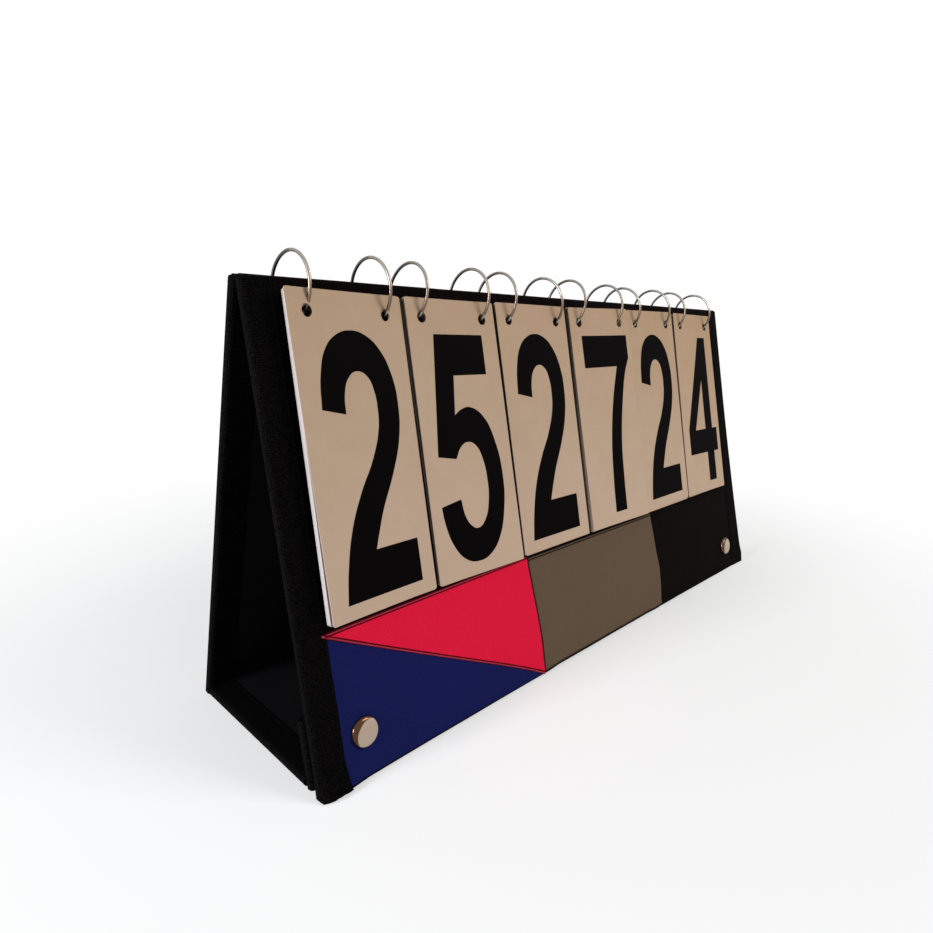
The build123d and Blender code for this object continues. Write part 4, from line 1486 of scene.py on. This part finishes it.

# The first stack's leaves curl off the board at the left; the others lie flat, a little more spread, their
# edges in the gaps between stacks darkened as painted shade.
piles = zip(stacks, next_digits, stack_turns, stack_slides)
for number, (x, digit, tilt, over) in enumerate(piles, start=1):
    curled = number == 1
    lifts, spread, core = ((4.2, 0.0, 2.7, 0.2), 0.3, card_core) if curled else ((0,) * 4, 1.0, shaded_core)
    leaves = []
    for i in range(cards_behind):
        slide = draw.normal((over, 0.3), (0.16 * spread, 0.25))
        place = CardPlace(x, slide, draw.normal(tilt, 0.0009 * spread), lifts)
        low = pack_face + i * card_step
        shape = flat_shape(card_outline(), *(cuts if curled else ()))
        leaves.append(one_card(shape, place, low, core))
    pack = (f"card_pack_{number}",)
    finished(joined(leaves), f"cards_behind_{number}", None, "front_panel", pack, 30)
    ink = printed(digit, place, low + card_thickness, cuts)
    finished(ink, f"next_number_{number}", number_ink, "front_panel", (), 30)

# ---------------------------------------------------------------- finishes on the CAD's own parts
plain_finishes = {"board_core": board_core, "nickel": fitting_nickel}
for row in frame["record"]["subparts"]:
    if row["material_slot"] in plain_finishes:
        for holder in frame["nodes"][row["node"]].material_slots:
            holder.material = plain_finishes[row["material_slot"]]

# ---------------------------------------------------------------- floor, light and camera
def backdrop_floor():
    """Pale floor that keeps the stand's shadow and goes to plain white further out."""
    made = Finish("pale_floor")
    x, y, _ = made.parts(made.place())
    fade = {"Value": (x * x + y * y) ** 0.5, "From Min": 0.1, "From Max": 0.6}
    far = made.value("ShaderNodeMapRange", {"interpolation_type": "SMOOTHSTEP"}, fade)
    seen = made.rays("Camera", "Glossy", "Transmission")
    matt = made.value("ShaderNodeBsdfDiffuse", None, {"Color": (0.93, 0.93, 0.93, 1)})
    white = made.value("ShaderNodeEmission", None, {"Color": (1, 1, 1, 1), "Strength": 1.0})
    mixed = made.value("ShaderNodeMixShader", None, {0: (far * 0.6 + 0.4) * seen, 1: matt, 2: white})
    made.node("ShaderNodeOutputMaterial", None, {"Surface": mixed})
    return made.material


half_floor = 8
floor_corners = [(half_floor * x, half_floor * y, 0) for x, y in ((-1, -1), (1, -1), (1, 1), (-1, 1))]
floor_mesh = bpy.data.meshes.new("floor")
floor_mesh.from_pydata(floor_corners, [], [(0, 1, 2, 3)])
floor_mesh.materials.append(backdrop_floor())
linked("floor", floor_mesh)

world = bpy.data.worlds.new("studio")
bpy.context.scene.world = world
world.use_nodes = True
sky = Tree(world.node_tree)
sky.tree.nodes.clear()
seen = sky.rays("Camera", "Transmission")
ambient, glossy = 0.24, 1.0
strength = seen + (1 - seen) * (ambient + sky.rays("Glossy") * (glossy - ambient))
light = sky.value("ShaderNodeBackground", None, {"Color": (1, 1, 1, 1), "Strength": strength})
sky.node("ShaderNodeOutputWorld", None, {"Surface": light})


def lamp(name, place, target, size, power, colour):
    """Square area light, all in metres and watts."""
    made = bpy.data.lights.new(name, "AREA")
    made.shape, made.size, made.energy, made.color = "SQUARE", size, power, colour
    holder = linked(name, made)
    holder.location = place
    holder.rotation_euler = (Vector(target) - Vector(place)).to_track_quat("-Z", "Y").to_euler()


lamp("right_key", (1.3, -1.9, 1.5), (0, 0, 0.1), 1.2, 47, (1.0, 0.98, 0.95))
lamp("left_window", (-1.9, 0.12, 0.5), (-0.2, 0, 0.12), 0.5, 50, (0.90, 0.95, 1.0))

camera_data = bpy.data.cameras.new("camera")
camera_data.lens, camera_data.sensor_width = 24.809, 36
camera_data.shift_x, camera_data.shift_y = 0.00204, 0.01907
camera = linked("camera", camera_data)
azimuth, down, roll = radians(45.736), radians(14.596), radians(2.2507)
ahead = Vector((sin(azimuth) * cos(down), cos(azimuth) * cos(down), -sin(down)))
level = Vector((cos(azimuth), -sin(azimuth), 0))
upright = level.cross(ahead)
right = level * cos(roll) + upright * sin(roll)
above = upright * cos(roll) - level * sin(roll)
facing = Matrix((right, above, -ahead)).transposed().to_4x4()
camera.matrix_world = Matrix.Translation((-0.36122, -0.27102, 0.21382)) @ facing
bpy.context.scene.camera = camera
bpy.context.scene.view_settings.view_transform = "Standard"
